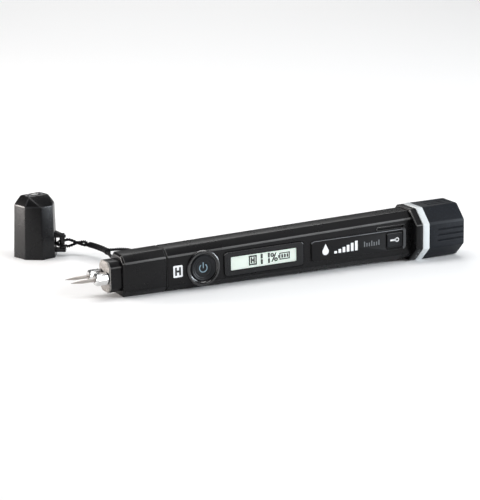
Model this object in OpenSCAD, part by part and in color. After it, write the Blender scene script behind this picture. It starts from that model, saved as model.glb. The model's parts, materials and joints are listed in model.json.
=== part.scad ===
// Pen moisture meter: tapered octagonal body with a torch head at its tail, two screwed-in
// needle probes at its nose, and a protective cap on a short twisted tether.
// Meter frame: X from the nose shoulder to the tail, the control face looks along -Y, Z is up.

/* [Body] */
// Length of the body from the nose shoulder to its rear end
body_len = 156; // [154:0.5:158]
// Height of the body at the nose shoulder
nose_h = 19.9; // [19.5:0.1:21]
// Height of the body at its rear end
tail_h = 24.3; // [24:0.1:25]
// Depth of the body, front to back
body_d = 15.6; // [15.4:0.1:16]
// Leg of the long corner chamfers
body_leg = 3.3; // [3:0.1:3.6]
// Thickness of the body's walls
wall = 1.3; // [1.2:0.1:1.4]
// Distance from the shoulder to the seam between nose housing and barrel
seam_x = 21.8; // [21:0.1:23]

/* [Needles] */
// Distance between the two needle axes
needle_gap = 7.2; // [7:0.1:7.4]
// Distance from the shoulder to the needle tips
tip_reach = 24.5; // [24:0.1:25]
// Width across the flats of the needle nuts
nut_af = 5.4; // [5:0.1:5.6]
// Travel of a needle when its nut is backed off
needle_travel = 3; // [2:0.5:3]

/* [Buttons] */
// Radius of the round power button
power_r = 6.5; // [6:0.1:6.6]
// Distance from the shoulder to the centre of the power button
power_x = 40.3; // [39:0.1:41]
// Width and height of the torch key
torch_key = [8.4, 7.2]; // [6:0.1:9]

/* [Display and panel] */
// Outer width and height of the display bezel
bezel_size = [42.3, 11.7]; // [10:0.1:43]
// Width and height of the display window
window_size = [34.9, 6.4]; // [6:0.1:35]
// Width and height of the raised control panel
panel_size = [53.2, 10.3]; // [10:0.1:54]

/* [Torch head] */
// Width of the trim ring across its flats
ring_af = 26.4; // [26.2:0.1:27]
// Width of the head across its flats at its rear end
head_end_af = 25.9; // [25:0.1:26]
// Length of the head
head_len = 20.4; // [20:0.1:21]

/* [Cap] */
// Width and depth of the cap where its top bevels start
cap_size = [18.4, 20]; // [18:0.1:20]
// Overall height of the cap
cap_h = 31; // [30.5:0.1:32]
// Turn of the standing cap about the vertical
cap_turn = 16; // [0:1:20]

/* [Hidden] */

$fn = 64;
gap = 0.05;             // clearance between pieces that only touch
run_fit = 0.08;         // radial clearance of turning and sliding pieces
ring_x = 157.65;        // front face of the trim ring
ring_end = 161.4;
head_x = 161.5;
head_end = head_x + head_len;
front_y = -body_d / 2;
inner_y = front_y + wall;

// The meter lies on the shoulder's lower edge and on the trim ring, so its tail is the higher end
rest_tilt = atan((ring_af - nose_h) / 2 / ring_x);
axis_z = nose_h / 2 * cos(rest_tilt);
meter_at = [-78.8, -43.4, axis_z];
cap_at = [-84.5, 45.2, 0];

collar_h = 14.6;        // nose collar that the cap seals on
collar_d = 11.4;
collar_leg = 2.4;
plate_x = -6.3;         // front face of the metal pin plate
plate_t = 0.8;
stud_r = 1.4;
needle_r = 0.8;
shank_r = 0.95;
nut_x = -12.2;
nut_rear = plate_x - gap;
stud_front = -9;
pocket_d = 11.4;        // depth of the room inside the nose housing

feature_z = -0.6;       // height of the buttons' and the display's centre line
bezel_x = 51.3;
window_x = 54.7;
panel_x = 97.8;
torch_x = 144;

spigot_r = 8.5;
cell_r = 5.25;
cell_x = 117;
cell_end = 161.5;
cell_y = 0.55;
led_x = 170.4;

cap_leg = 5.6;          // corner chamfers of the cap
cap_flare = 1.08;       // the cap is this much wider at its mouth
cap_bevel_z = 26.5;
cap_top = [11.8, 6.7];  // flat on top of the cap
cap_wall_z = 28.3;
eyelet_r = 1.5;
lug_turn = -45;
lug_out = 13.4;         // distance of the cap's tether post from the cap's axis
post_r = 1.3;
loop_r = 2.2;
strand_r = 0.6;
cord_r = 1.1;
tether_post = [9.3, 11.2, 0];
lug_z = 7.0;            // middle of the slot between the cap's ears
cap_loop_z = 6.1;       // height of the tether's loop on that post

// Centre line of the tether from the meter's post to the cap's post
tether_route = [[-69.5, -30, 10.2], [-69.4, -27, 10.2], [-69, -23, 10], [-68.2, -18, 9.6],
    [-67, -12, 9.1], [-65.6, -6, 8.6], [-64, 0, 8.2], [-62.6, 5, 7.9], [-61.6, 10, 7.6],
    [-61.1, 15, 7.2], [-61, 20, 6.8], [-61.2, 25, 6.5], [-62, 29.5, 6.3], [-63.6, 33.2, 6.4],
    [-66, 36, 6.4], [-68.6, 37.7, 6.2], [-70.6, 38.4, 6.1]];
// The second strand leaves the whipping and comes back to the meter's post
strand_route = [[-61.6, 9, 8.2], [-59.8, 6, 8.7], [-57.2, 1, 9.8], [-55.8, -5, 10.6],
    [-56, -12, 11.2], [-57.6, -19, 11.4], [-60.6, -25, 11], [-64, -29.4, 10.6],
    [-67.4, -31.6, 10.2]];
whipping_route = [for (i = [8:12]) tether_route[i]];

function unit(v) = v / norm(v);
function heading(p, i) = unit(p[min(i + 1, len(p) - 1)] - p[max(i - 1, 0)]);
function ring_at(p, i, r, n) = let (t = heading(p, i), s = unit(cross(t, [0, 0, 1])), u = cross(s, t))
    [for (k = [0:n - 1]) p[i] + r * (cos(k * 360 / n) * s + sin(k * 360 / n) * u)];
function quad_ring(i, n) = [for (k = [0:n - 1])
    [i * n + k, i * n + (k + 1) % n, (i + 1) * n + (k + 1) % n, (i + 1) * n + k]];

// Round tube swept along a list of points
module tube(p, r, n = 8) {
    last = (len(p) - 1) * n;
    polyhedron(points = [for (i = [0:len(p) - 1]) each ring_at(p, i, r, n)],
        faces = concat([[for (k = [n - 1:-1:0]) k]],
            [for (i = [0:len(p) - 2]) each quad_ring(i, n)],
            [[for (k = [0:n - 1]) last + k]]), convexity = 6);
}

// Rectangle with chamfered corners
module chamfered(w, h, leg) {
    polygon([[w / 2 - leg, -h / 2], [w / 2, leg - h / 2], [w / 2, h / 2 - leg], [w / 2 - leg, h / 2],
        [leg - w / 2, h / 2], [-w / 2, h / 2 - leg], [-w / 2, leg - h / 2], [leg - w / 2, -h / 2]]);
}

// Prism along X with a chamfered section, d deep and h high
module prism_x(x0, x1, d, h, leg) {
    translate([x0, 0, 0]) rotate([90, 0, 90]) linear_extrude(x1 - x0) chamfered(d, h, leg);
}

// The same, with its height growing from h0 to h1
module taper_x(x0, x1, d, h0, h1, leg) {
    hull() {
        prism_x(x0, x0 + 0.01, d, h0, leg);
        prism_x(x1 - 0.01, x1, d, h1, leg);
    }
}

module rod_x(x0, x1, r) translate([x0, 0, 0]) rotate([0, 90, 0]) cylinder(h = x1 - x0, r = r);
module cone_x(x0, x1, r0, r1) translate([x0, 0, 0]) rotate([0, 90, 0]) cylinder(h = x1 - x0, r1 = r0, r2 = r1);
module rod_y(y0, y1, r) translate([0, y1, 0]) rotate([90, 0, 0]) cylinder(h = y1 - y0, r = r);

// Block on the control face: x0 to x0 + w, centred on height z
module face_block(x0, w, y0, y1, h, z = feature_z) {
    translate([x0, y0, z - h / 2]) cube([w, y1 - y0, h]);
}

// Block on the control face with rounded corners
module face_pad(x0, size, y0, y1, r, z = feature_z) {
    translate([x0 + size[0] / 2, y1, z]) rotate([90, 0, 0]) linear_extrude(y1 - y0)
        round_rect(size, r);
}

module round_rect(size, r) {
    square([size[0] - 2 * r, size[1]], center = true);
    square([size[0], size[1] - 2 * r], center = true);
    for (sx = [-1, 1], sy = [-1, 1]) translate([sx * (size[0] / 2 - r), sy * (size[1] / 2 - r)])
        circle(r = r, $fn = 32);
}

module in_meter() translate(meter_at) rotate([0, -rest_tilt, 0]) children();
module in_cap() translate(cap_at) rotate([0, 0, cap_turn]) children();
module near_side() translate([0, -needle_gap / 2, 0]) children();
module far_side() translate([0, needle_gap / 2, 0]) children();
module both_sides() {
    near_side() children();
    far_side() children();
}

function body_h(x) = nose_h + (tail_h - nose_h) * x / body_len;

// Two ears with a gap between them, standing out along X from x0, round at the post
module ears(x0, x1, z0, z1, slot_h) {
    for (s = [[z0, -slot_h / 2], [slot_h / 2, z1]]) {
        translate([x0, -2, s[0]]) cube([x1 - x0, 4, s[1] - s[0]]);
        translate([x1, 0, s[0]]) cylinder(h = s[1] - s[0], r = 2);
    }
}

// ---- nose ----

module nose_housing() in_meter() color("#232326") {
    difference() {
        union() {
            taper_x(0, seam_x, body_d, nose_h, body_h(seam_x), body_leg);
            prism_x(plate_x + plate_t, 0, collar_d, collar_h, collar_leg);
            prism_x(seam_x, seam_x + 5, body_d - 2 * wall - 2 * gap, body_h(seam_x) - 2 * wall - 2 * gap,
                body_leg - 0.6);
            translate(tether_post) rotate([0, 0, 90])
                ears(body_d / 2 - tether_post[1], 0, -4.6, 4.6, 3);
        }
        prism_x(3, seam_x + 6, pocket_d, nose_h - body_d + pocket_d, body_leg - 1);
        face_block(plate_x, 10, -5 - 0.3, 5 + 0.3, 8.6, 0);
        translate([tether_post[0], tether_post[1], -6]) cylinder(h = 12, r = post_r);
    }
}

module pin_plate() in_meter() color("#b9b4ac") difference() {
    prism_x(plate_x, plate_x + plate_t, collar_d, collar_h, collar_leg);
    both_sides() rod_x(plate_x - 1, plate_x + 2, stud_r + 0.1);
}

module pin_block() in_meter() color("ivory") difference() {
    union() {
        face_block(plate_x + plate_t + gap, 9, -5.25, 5.25, 8.4, 0);
        face_block(3 + gap, 4, gap - pocket_d / 2, pocket_d / 2 - gap, 10, 0);
    }
    both_sides() rod_x(-10, 10, stud_r);
}

module pin_stud() color("#b08d57") difference() {
    rod_x(stud_front, 7.5, stud_r);
    rod_x(-10, 10, shank_r + gap);
}
module near_pin_stud() in_meter() near_side() pin_stud();
module far_pin_stud() in_meter() far_side() pin_stud();

module sensor_leads() in_meter() color("firebrick") {
    tube([[7.6, -3.6, 0], [10, -3.6, 0], [15, -3.6, 0.6], [21, -3.5, 1.6], [27, -3.4, 2], [30.9, -3.4, 2]], 0.5);
    tube([[7.6, 3.6, 0], [10, 3.6, 0], [15, 2.6, -0.6], [21, -0.6, -1.6], [27, -3.4, -2], [30.9, -3.4, -2]], 0.5);
}

module nose_seal() in_meter() color("#101010") difference() {
    prism_x(seam_x + gap, seam_x + 0.4, body_d - 0.5, body_h(seam_x) - 0.5, body_leg - 0.1);
    prism_x(seam_x - 1, seam_x + 1, body_d - 2 * wall, body_h(seam_x) - 2 * wall, body_leg - 0.6);
}

module tether_pin() in_meter() color("#c8c8c8")
    translate([tether_post[0], tether_post[1], -4.9]) cylinder(h = 9.8, r = post_r - 0.02);

// ---- barrel and electronics ----

module barrel() in_meter() color("#232326") difference() {
    taper_x(seam_x + 0.45, body_len, body_d, body_h(seam_x), tail_h, body_leg);
    taper_x(seam_x - 1, body_len + 1, body_d - 2 * wall, body_h(seam_x) - 2 * wall, tail_h - 2 * wall,
        body_leg - 0.6);
    translate([power_x, 0, feature_z]) rod_y(front_y - 1, front_y + 4, power_r + 0.6);
    face_block(bezel_x + 1.5, bezel_size[0] - 3, front_y - 1, front_y + 4, bezel_size[1] - 2);
    face_block(torch_x - 5.2, 10.4, front_y - 1, front_y + 4, 9.2);
}

module power_button_collar() in_meter() color("#2c2f33")
    translate([power_x, 0, feature_z]) difference() {
        union() {
            rod_y(front_y - 1, front_y - gap, 8.5);
            rod_y(front_y - gap, front_y + wall, power_r + 0.55);
        }
        rod_y(front_y - 2, front_y + 3, power_r + 0.1);
    }

module power_button() in_meter() color("#2b2d31") translate([power_x, 0, feature_z]) {
    rod_y(front_y - 0.8, inner_y + 0.1, power_r);
    intersection() {
        rod_y(inner_y + 0.1, inner_y + 0.7, power_r + 0.9);
        face_block(-9, 18, inner_y, inner_y + 1, 11.4, 0);
    }
    rod_y(inner_y + 0.7, inner_y + 1, 1.5);
}

module power_switch() in_meter() color("gold")
    translate([power_x, 0, feature_z]) rod_y(inner_y + 1.6, inner_y + 2.45, 2.2);

module circuit_board() in_meter() color("darkgreen")
    face_block(31, 80, inner_y + 2.5, inner_y + 3.5, 16, 0);

module microcontroller() in_meter() color("#151515") {
    face_block(62, 8, inner_y + 3.5 + gap, inner_y + 4.7, 8, 0);
    face_block(78, 5, inner_y + 3.5 + gap, inner_y + 4.5, 4, 0);
    face_block(48, 4, inner_y + 3.5 + gap, inner_y + 4.5, 3, 2);
}

module display_bezel() in_meter() color("#2d2e31") difference() {
    union() {
        face_pad(bezel_x, bezel_size, front_y - 0.6, front_y - gap, 1.8);
        face_block(bezel_x + 1.6, bezel_size[0] - 3.2, front_y - gap, front_y + 0.7, bezel_size[1] - 2.2);
    }
    face_block(window_x - gap, window_size[0] + 2 * gap, front_y - 1, front_y + 2, window_size[1] + 2 * gap);
}

module display_window() in_meter() color([0.85, 0.9, 0.87, 0.4])
    face_block(window_x, window_size[0], front_y - 0.45, front_y + 0.6, window_size[1]);

module lcd_module() in_meter() color("#dfe6e0")
    face_block(window_x - 1.7, window_size[0] + 3.4, front_y + 0.75, front_y + 2.7, 9.4);

module elastomer_connector() in_meter() color("salmon") for (z = [-3.6, 3.6])
    face_block(window_x, window_size[0], front_y + 2.7 + gap, inner_y + 2.45, 1.2, z);

module control_panel() in_meter() color("#242427") difference() {
    face_pad(panel_x, panel_size, front_y - 0.8, front_y - gap, 1.6);
    face_block(torch_x - 4.5, 9, front_y - 2, front_y + 1, 7.8);
}

module torch_button() in_meter() color("#26282c") {
    face_pad(torch_x - torch_key[0] / 2, torch_key, front_y - 1, front_y + 0.05, 0.8);
    face_block(torch_x - 5, 10, front_y + 0.05, front_y + 0.35, 8.8);
    translate([torch_x, 0, feature_z]) rod_y(front_y + 0.3, front_y + 0.5, 1.5);
}

module torch_switch() in_meter() color("gold")
    translate([torch_x, 0, feature_z]) rod_y(front_y + 0.95, inner_y + gap, 2.2);

module switch_flex() in_meter() color("orange")
    face_block(112, 38.5, inner_y + gap, inner_y + 0.25, 7, 0);

module battery() in_meter() color("#3f6f9f") translate([0, cell_y, 0]) {
    rod_x(cell_x, cell_end, cell_r);
    rod_x(cell_x - 1, cell_x, 1.9);
}

module battery_contact() in_meter() color("silver") {
    translate([114.8, -3.6, -5]) cube([1.1, 8, 10]);
    translate([111.1, -3.2, -3]) cube([3.7, 0.5, 6]);
}

// ---- rear collar and torch head ----

module rear_collar() in_meter() color("#27272a") difference() {
    union() {
        prism_x(body_len - 2, ring_x - gap, 26, 26, 6.9);
        rod_x(ring_x - gap, led_x - 0.4, spigot_r);
    }
    prism_x(body_len - 3, body_len + gap, body_d + 2 * gap, tail_h + 2 * gap, body_leg);
    rod_x(body_len - 4, led_x + 1, cell_r + 0.7);
    translate([166.4, 0, 0]) ring_cut(spigot_r + 1, spigot_r - 0.5, 1.1);
}

module ring_cut(r_out, r_in, w) rotate([0, 90, 0]) difference() {
    cylinder(h = w, r = r_out);
    translate([0, 0, -1]) cylinder(h = w + 2, r = r_in);
}

module head_seal() in_meter() color("#111111") translate([166.5, 0, 0])
    ring_cut(spigot_r - 0.02, spigot_r - 0.45, 0.9);

module trim_ring() in_meter() color("#e9edf0") difference() {
    prism_x(ring_x, ring_end, ring_af, ring_af, 7);
    rod_x(ring_x - 1, ring_end + 1, spigot_r + run_fit);
}

module head_core() in_meter() color("#2a2d33") difference() {
    prism_x(head_x, head_end - 0.4, 22.6, 22.6, 6);
    rod_x(head_x - 1, led_x - 0.05, spigot_r + run_fit);
    rod_x(led_x - 1, head_end - 3.5, 8.1);
    rod_x(head_end - 3.55, head_end + 1, 8.95);
}

module head_grip() in_meter() color("#242a33") difference() {
    hull() {
        prism_x(head_x, head_end - 1.6, ring_af, ring_af, 7);
        prism_x(head_end - 0.01, head_end, head_end_af - 1.6, head_end_af - 1.6, 6.6);
    }
    prism_x(head_x - 1, head_end + 1, 22.6 + 2 * gap, 22.6 + 2 * gap, 6);
    for (a = [0:90:270], z = [-2.4, 0, 2.4]) rotate([a, 0, 0])
        translate([head_x + 8, -ring_af, z - 0.35]) cube([20, ring_af / 2 + 0.6, 0.7]);
}

spring_turns = 5;
spring_steps = 14;
function spring_point(i) = let (a = i * 360 / spring_steps)
    [cell_end + 0.55 + i * (led_x - cell_end - 1.1) / (spring_turns * spring_steps),
     3.4 * cos(a), 3.4 * sin(a)];
function coil_ring(i) = let (a = i * 360 / spring_steps, p = spring_point(i))
    [for (k = [0:5]) p + 0.4 * [sin(k * 60), cos(k * 60) * cos(a), cos(k * 60) * sin(a)]];

module battery_spring() in_meter() color("silver") {
    last = spring_turns * spring_steps;
    polyhedron(points = [for (i = [0:last]) each coil_ring(i)],
        faces = concat([[for (k = [0:5]) k]],
            [for (i = [0:last - 1], k = [0:5])
                [(i + 1) * 6 + k, (i + 1) * 6 + (k + 1) % 6, i * 6 + (k + 1) % 6, i * 6 + k]],
            [[for (k = [5:-1:0]) last * 6 + k]]), convexity = 10);
}

module led_board() in_meter() color("white") rod_x(led_x, led_x + 1, 8);
module led_emitter() in_meter() color("khaki") {
    translate([led_x + 1 + gap, -1.7, -1.7]) cube([0.7, 3.4, 3.4]);
    rod_x(led_x + 1.7, led_x + 2.3, 1.2);
}

module reflector() in_meter() color("gainsboro") difference() {
    rod_x(led_x + 1.1, head_end - 3.6, 8);
    cone_x(led_x + 2.4, head_end - 3.5, 2.8, 7.6);
    rod_x(led_x, led_x + 3, 2.6);
}

module lens() in_meter() color([0.9, 0.95, 1, 0.4]) rod_x(head_end - 3.5, head_end - 2, 8.9);
module lens_bezel() in_meter() color("#1c1d20") difference() {
    rod_x(head_end - 1.95, head_end - 0.5, 8.9);
    rod_x(head_end - 3, head_end + 1, 7.4);
}

// ---- needles ----

module needle() color("#c9ccd0") {
    translate([nut_x - 0.3, 0, 0]) rotate([0, 90, 0]) cylinder(h = 2.3 - nut_x, r = shank_r, $fn = 6);
    rod_x(-19.5, nut_x - 0.3, needle_r);
    cone_x(-tip_reach, -19.5, 0.12, needle_r);
}
module near_needle() in_meter() near_side() needle();
module far_needle() in_meter() far_side() needle();

module pin_nut() color("#e6e8ea") difference() {
    translate([nut_x, 0, 0]) rotate([0, 90, 0]) cylinder(h = nut_rear - nut_x, r = nut_af / sqrt(3), $fn = 6);
    rod_x(stud_front - 0.3, 0, stud_r + run_fit);
    rod_x(nut_x - 1, 0, shank_r + run_fit);
}
module near_pin_nut() in_meter() near_side() pin_nut();
module far_pin_nut() in_meter() far_side() pin_nut();

// ---- cap ----

module cap_outline(scale_by) {
    chamfered(cap_size[0] * scale_by, cap_size[1] * scale_by, cap_leg * scale_by);
}

module cap_shell() in_cap() color("#212124") difference() {
    union() {
        hull() {
            linear_extrude(0.01) cap_outline(cap_flare);
            translate([0, 0, cap_bevel_z]) linear_extrude(0.01) cap_outline(1);
            translate([0, 0, cap_h - 0.01]) linear_extrude(0.01) square(cap_top, center = true);
        }
        rotate([0, 0, lug_turn]) translate([0, 0, lug_z]) {
            ears(8.4, lug_out, -5, 5.6, 5.2);
            translate([lug_out, 0, -3]) cylinder(h = 6, r = post_r);
        }
    }
    translate([0, 0, -1]) linear_extrude(8.6) chamfered(15.6, 17.4, 3.4);
    translate([0, 0, 7]) linear_extrude(19) chamfered(14.8, 16.4, 4.4);
    for (s = [-1, 1]) translate([s * needle_gap / 2, 0, 20]) cylinder(h = 20, r = eyelet_r);
}

module cap_seal() in_cap() color("#303030") difference() {
    translate([0, 0, 0.6]) linear_extrude(6) chamfered(15.5, 17.3, 3.4);
    translate([0, 0, -1]) linear_extrude(10) chamfered(collar_d + 0.2, collar_h + 0.2, collar_leg);
}

module check_sockets() in_cap() color("silver") for (s = [-1, 1])
    translate([s * needle_gap / 2, 0, 0]) difference() {
        union() {
            translate([0, 0, 26.6]) cylinder(h = cap_h - 26.6, r = eyelet_r - 0.02);
            translate([0, 0, cap_h]) cylinder(h = 0.25, r = eyelet_r + 0.2);
        }
        translate([0, 0, 27.6]) cylinder(h = 8, r = 0.9);
    }

module check_resistor() in_cap() color("burlywood")
    translate([-5, -1.2, 24.9]) cube([10, 2.4, 1]);

module check_plate() in_cap() color("white")
    translate([-1.4, -1.2, cap_h]) cube([2.8, 2.4, 0.15]);

// ---- tether ----

module tether_cord() color("#151517") tube(tether_route, cord_r);
module tether_strand() color("#151517") tube(strand_route, strand_r);
module tether_whipping() color("#0e0e10") tube(whipping_route, cord_r + 0.35);

module cord_loop() rotate_extrude() translate([loop_r, 0]) circle(r = strand_r, $fn = 24);
module meter_loop() color("#151517") translate([meter_at[0] + tether_post[0], meter_at[1] + tether_post[1], 10.2])
    cord_loop();
module cap_loop() color("#151517") in_cap() rotate([0, 0, lug_turn]) translate([lug_out, 0, cap_loop_z])
    cord_loop();

nose_housing();
pin_plate();
pin_block();
near_pin_stud();
far_pin_stud();
sensor_leads();
nose_seal();
tether_pin();
barrel();
power_button_collar();
power_button();
power_switch();
display_bezel();
display_window();
lcd_module();
elastomer_connector();
circuit_board();
microcontroller();
control_panel();
torch_button();
torch_switch();
switch_flex();
battery();
battery_contact();
rear_collar();
head_seal();
trim_ring();
head_core();
head_grip();
battery_spring();
led_board();
led_emitter();
reflector();
lens();
lens_bezel();
near_needle();
far_needle();
near_pin_nut();
far_pin_nut();
cap_shell();
cap_seal();
check_sockets();
check_resistor();
check_plate();
tether_cord();
tether_strand();
tether_whipping();
meter_loop();
cap_loop();
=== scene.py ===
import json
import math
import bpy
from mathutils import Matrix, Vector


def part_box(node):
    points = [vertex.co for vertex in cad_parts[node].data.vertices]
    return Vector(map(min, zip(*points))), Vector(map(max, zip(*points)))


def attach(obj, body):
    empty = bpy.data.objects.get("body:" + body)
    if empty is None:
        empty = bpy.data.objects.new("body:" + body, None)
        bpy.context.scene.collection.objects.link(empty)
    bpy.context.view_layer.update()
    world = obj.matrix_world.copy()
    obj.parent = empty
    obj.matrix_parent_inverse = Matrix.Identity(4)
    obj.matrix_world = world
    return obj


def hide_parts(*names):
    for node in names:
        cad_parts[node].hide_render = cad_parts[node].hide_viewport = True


bl_info = {
    "name": "Pen moisture meter",
    "version": (1, 0, 0),
    "blender": (4, 5, 0),
    "location": "View3D > Sidebar > Meter",
    "description": "Builds a pen moisture meter, its needles, torch head and tethered cap around a packed frame",
    "category": "Object",
}

import bmesh
import bpy
from bpy.props import FloatProperty, FloatVectorProperty, IntProperty, PointerProperty
from mathutils import Matrix, Vector

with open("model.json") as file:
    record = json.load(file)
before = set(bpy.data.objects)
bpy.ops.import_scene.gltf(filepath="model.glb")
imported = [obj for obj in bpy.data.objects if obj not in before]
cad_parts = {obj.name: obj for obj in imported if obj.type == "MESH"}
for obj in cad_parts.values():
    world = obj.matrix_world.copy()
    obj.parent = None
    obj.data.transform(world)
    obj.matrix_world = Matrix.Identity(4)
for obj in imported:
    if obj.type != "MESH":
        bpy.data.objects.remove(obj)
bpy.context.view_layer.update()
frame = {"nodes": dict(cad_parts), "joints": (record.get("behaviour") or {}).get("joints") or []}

MM = 0.001
JOINTS = {joint["name"]: joint for joint in frame["joints"]}
HEAD_JOINT_X = 165.0  # the head joint's point lies this far behind the nose shoulder, in millimetres


# ---------------------------------------------------------------- local frames


def meter_place():
    """Millimetres along the meter's own axes, from the nose shoulder, to metres in the row frame."""
    along = Vector(JOINTS["head_turn"]["axis"]).normalized()
    across = Vector((0, 1, 0))
    up = along.cross(across)
    origin = Vector(JOINTS["head_turn"]["pos_m"]) - along * HEAD_JOINT_X * MM
    turn = Matrix((along, across, up)).transposed().to_4x4()
    return Matrix.Translation(origin) @ turn @ Matrix.Scale(MM, 4)


def cap_place():
    """Millimetres from the centre of the cap's mouth, X along the row of check sockets."""
    low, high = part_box("check_plate")
    centre = (low + high) / 2
    centre.z = 0
    post = Vector(JOINTS["cap_turn"]["pos_m"]) - centre
    turn = math.atan2(post.y, post.x) + math.radians(45)
    return Matrix.Translation(centre) @ Matrix.Rotation(turn, 4, "Z") @ Matrix.Scale(MM, 4)


METER = meter_place()
CAP = cap_place()


def local_box(node, place):
    """Lowest and highest corner of a CAD node in a local frame, in millimetres."""
    inverse = place.inverted()
    points = [inverse @ v.co for v in frame["nodes"][node].data.vertices]
    low = Vector([min(p[i] for p in points) for i in range(3)])
    high = Vector([max(p[i] for p in points) for i in range(3)])
    return low, high


def local_section(node, place, x, reach=0.3):
    """The same, for the vertices near one X only."""
    inverse = place.inverted()
    points = [inverse @ v.co for v in frame["nodes"][node].data.vertices]
    points = [p for p in points if abs(p.x - x) < reach]
    low = Vector([min(p[i] for p in points) for i in range(3)])
    high = Vector([max(p[i] for p in points) for i in range(3)])
    return low, high


# ---------------------------------------------------------------- modelling tools


def start_ring(bm, points):
    """A face through the given points."""
    return bm.faces.new([bm.verts.new(p) for p in points])


def octagon_points(x, depth, height, leg):
    """A rectangle with chamfered corners, in the plane across X."""
    d, h = depth / 2, height / 2
    flat = [(d - leg, -h), (d, leg - h), (d, h - leg), (d - leg, h)]
    flat += [(-a, -b) for a, b in flat]
    return [(x, a, b) for a, b in flat]


def edges_where(bm, test):
    return [e for e in bm.edges if test(*e.verts)]


def round_edges(bm, edges, radius, segments=3):
    if edges and radius > 0:
        bmesh.ops.bevel(bm, geom=edges, offset=radius, offset_type="OFFSET", segments=segments,
                        profile=0.5, affect="EDGES", material=-1, clamp_overlap=True)


def prism(x0, x1, depth, heights, leg, long_edge=0.0, front_rim=0.0, rear_rim=0.0, segments=3,
          flat_rim=0.0):
    """A chamfered bar along X, whose height grows from heights[0] to heights[1]."""
    bm = bmesh.new()
    face = start_ring(bm, octagon_points(x0, depth, heights[0], leg))
    new = bmesh.ops.extrude_face_region(bm, geom=[face])["geom"]
    grow = (heights[1] - heights[0]) / 2
    for vert in (g for g in new if isinstance(g, bmesh.types.BMVert)):
        vert.co.x = x1
        vert.co.z += math.copysign(grow, vert.co.z)
    bmesh.ops.recalc_face_normals(bm, faces=bm.faces)
    near = lambda v, x: abs(v.co.x - x) < 0.02
    round_edges(bm, edges_where(bm, lambda a, b: near(a, x0) != near(b, x0)), long_edge, segments)
    rim_segments = 1 if flat_rim else segments
    round_edges(bm, edges_where(bm, lambda a, b: near(a, x0) and near(b, x0)), front_rim, rim_segments)
    if flat_rim:
        strip = [e for e in bm.edges if len(e.link_faces) == 2 and e.calc_face_angle(0) > 0.5
                 and all(v.co.x < x0 + front_rim + 0.02 for v in e.verts)]
        round_edges(bm, strip, flat_rim, 2)
    round_edges(bm, edges_where(bm, lambda a, b: near(a, x1) and near(b, x1)), rear_rim, segments)
    return bm


def block(low, high):
    """A box between two corners."""
    bm = bmesh.new()
    bmesh.ops.create_cube(bm, size=1)
    low, high = Vector(low), Vector(high)
    bmesh.ops.scale(bm, vec=high - low, verts=bm.verts)
    bmesh.ops.translate(bm, vec=(low + high) / 2, verts=bm.verts)
    return bm


def pad(low, high, corner=0.0, rim=0.0, corner_segments=6, rim_segments=3):
    """A box that lies on the control face: round corners seen from the front, and a round front rim."""
    bm = block(low, high)
    along_y = lambda a, b: abs(a.co.y - b.co.y) > 1e-4
    round_edges(bm, edges_where(bm, along_y), corner, corner_segments)
    front = low[1]
    on_front = lambda a, b: abs(a.co.y - front) < 1e-4 and abs(b.co.y - front) < 1e-4
    round_edges(bm, edges_where(bm, on_front), rim, rim_segments)
    return bm


def rod(axis, start, end, radius, centre=(0, 0), segments=64, end_radius=None):
    """A cylinder or cone along X, Y or Z between two stations."""
    bm = bmesh.new()
    tip = radius if end_radius is None else end_radius
    bmesh.ops.create_cone(bm, cap_ends=True, segments=segments, radius1=radius, radius2=tip,
                          depth=end - start)
    bmesh.ops.translate(bm, vec=(0, 0, (start + end) / 2), verts=bm.verts)
    if axis == "X":
        bmesh.ops.rotate(bm, matrix=Matrix.Rotation(math.radians(90), 3, "Y"), verts=bm.verts)
        bmesh.ops.translate(bm, vec=(0, centre[0], centre[1]), verts=bm.verts)
    elif axis == "Y":
        bmesh.ops.rotate(bm, matrix=Matrix.Rotation(math.radians(-90), 3, "X"), verts=bm.verts)
        bmesh.ops.translate(bm, vec=(centre[0], 0, centre[1]), verts=bm.verts)
    else:
        bmesh.ops.translate(bm, vec=(centre[0], centre[1], 0), verts=bm.verts)
    return bm


def turned(axis, profile, centre=(0, 0), steps=72, closed=False):
    """A profile of (station, radius) points spun about X or Y through centre."""
    bm = bmesh.new()
    if axis == "X":
        verts = [bm.verts.new((s, centre[0], centre[1] + r)) for s, r in profile]
        pivot, line = (0, centre[0], centre[1]), (1, 0, 0)
    else:
        verts = [bm.verts.new((centre[0], s, centre[1] + r)) for s, r in profile]
        pivot, line = (centre[0], 0, centre[1]), (0, 1, 0)
    pairs = list(zip(verts, verts[1:])) + ([(verts[-1], verts[0])] if closed else [])
    edges = [bm.edges.new(pair) for pair in pairs]
    bmesh.ops.spin(bm, geom=verts + edges, cent=pivot, axis=line, angle=math.tau, steps=steps, use_merge=True)
    bmesh.ops.remove_doubles(bm, verts=bm.verts, dist=1e-4)
    bmesh.ops.recalc_face_normals(bm, faces=bm.faces)
    return bm


def join(*parts):
    """Several shells in one mesh."""
    mesh = bpy.data.meshes.new("join")
    whole = bmesh.new()
    for part in parts:
        part.to_mesh(mesh)
        whole.from_mesh(mesh)
        part.free()
    bpy.data.meshes.remove(mesh)
    return whole


def scratch_object(bm):
    mesh = bpy.data.meshes.new("scratch")
    bm.to_mesh(mesh)
    bm.free()
    obj = bpy.data.objects.new("scratch", mesh)
    bpy.context.scene.collection.objects.link(obj)
    return obj


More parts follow.
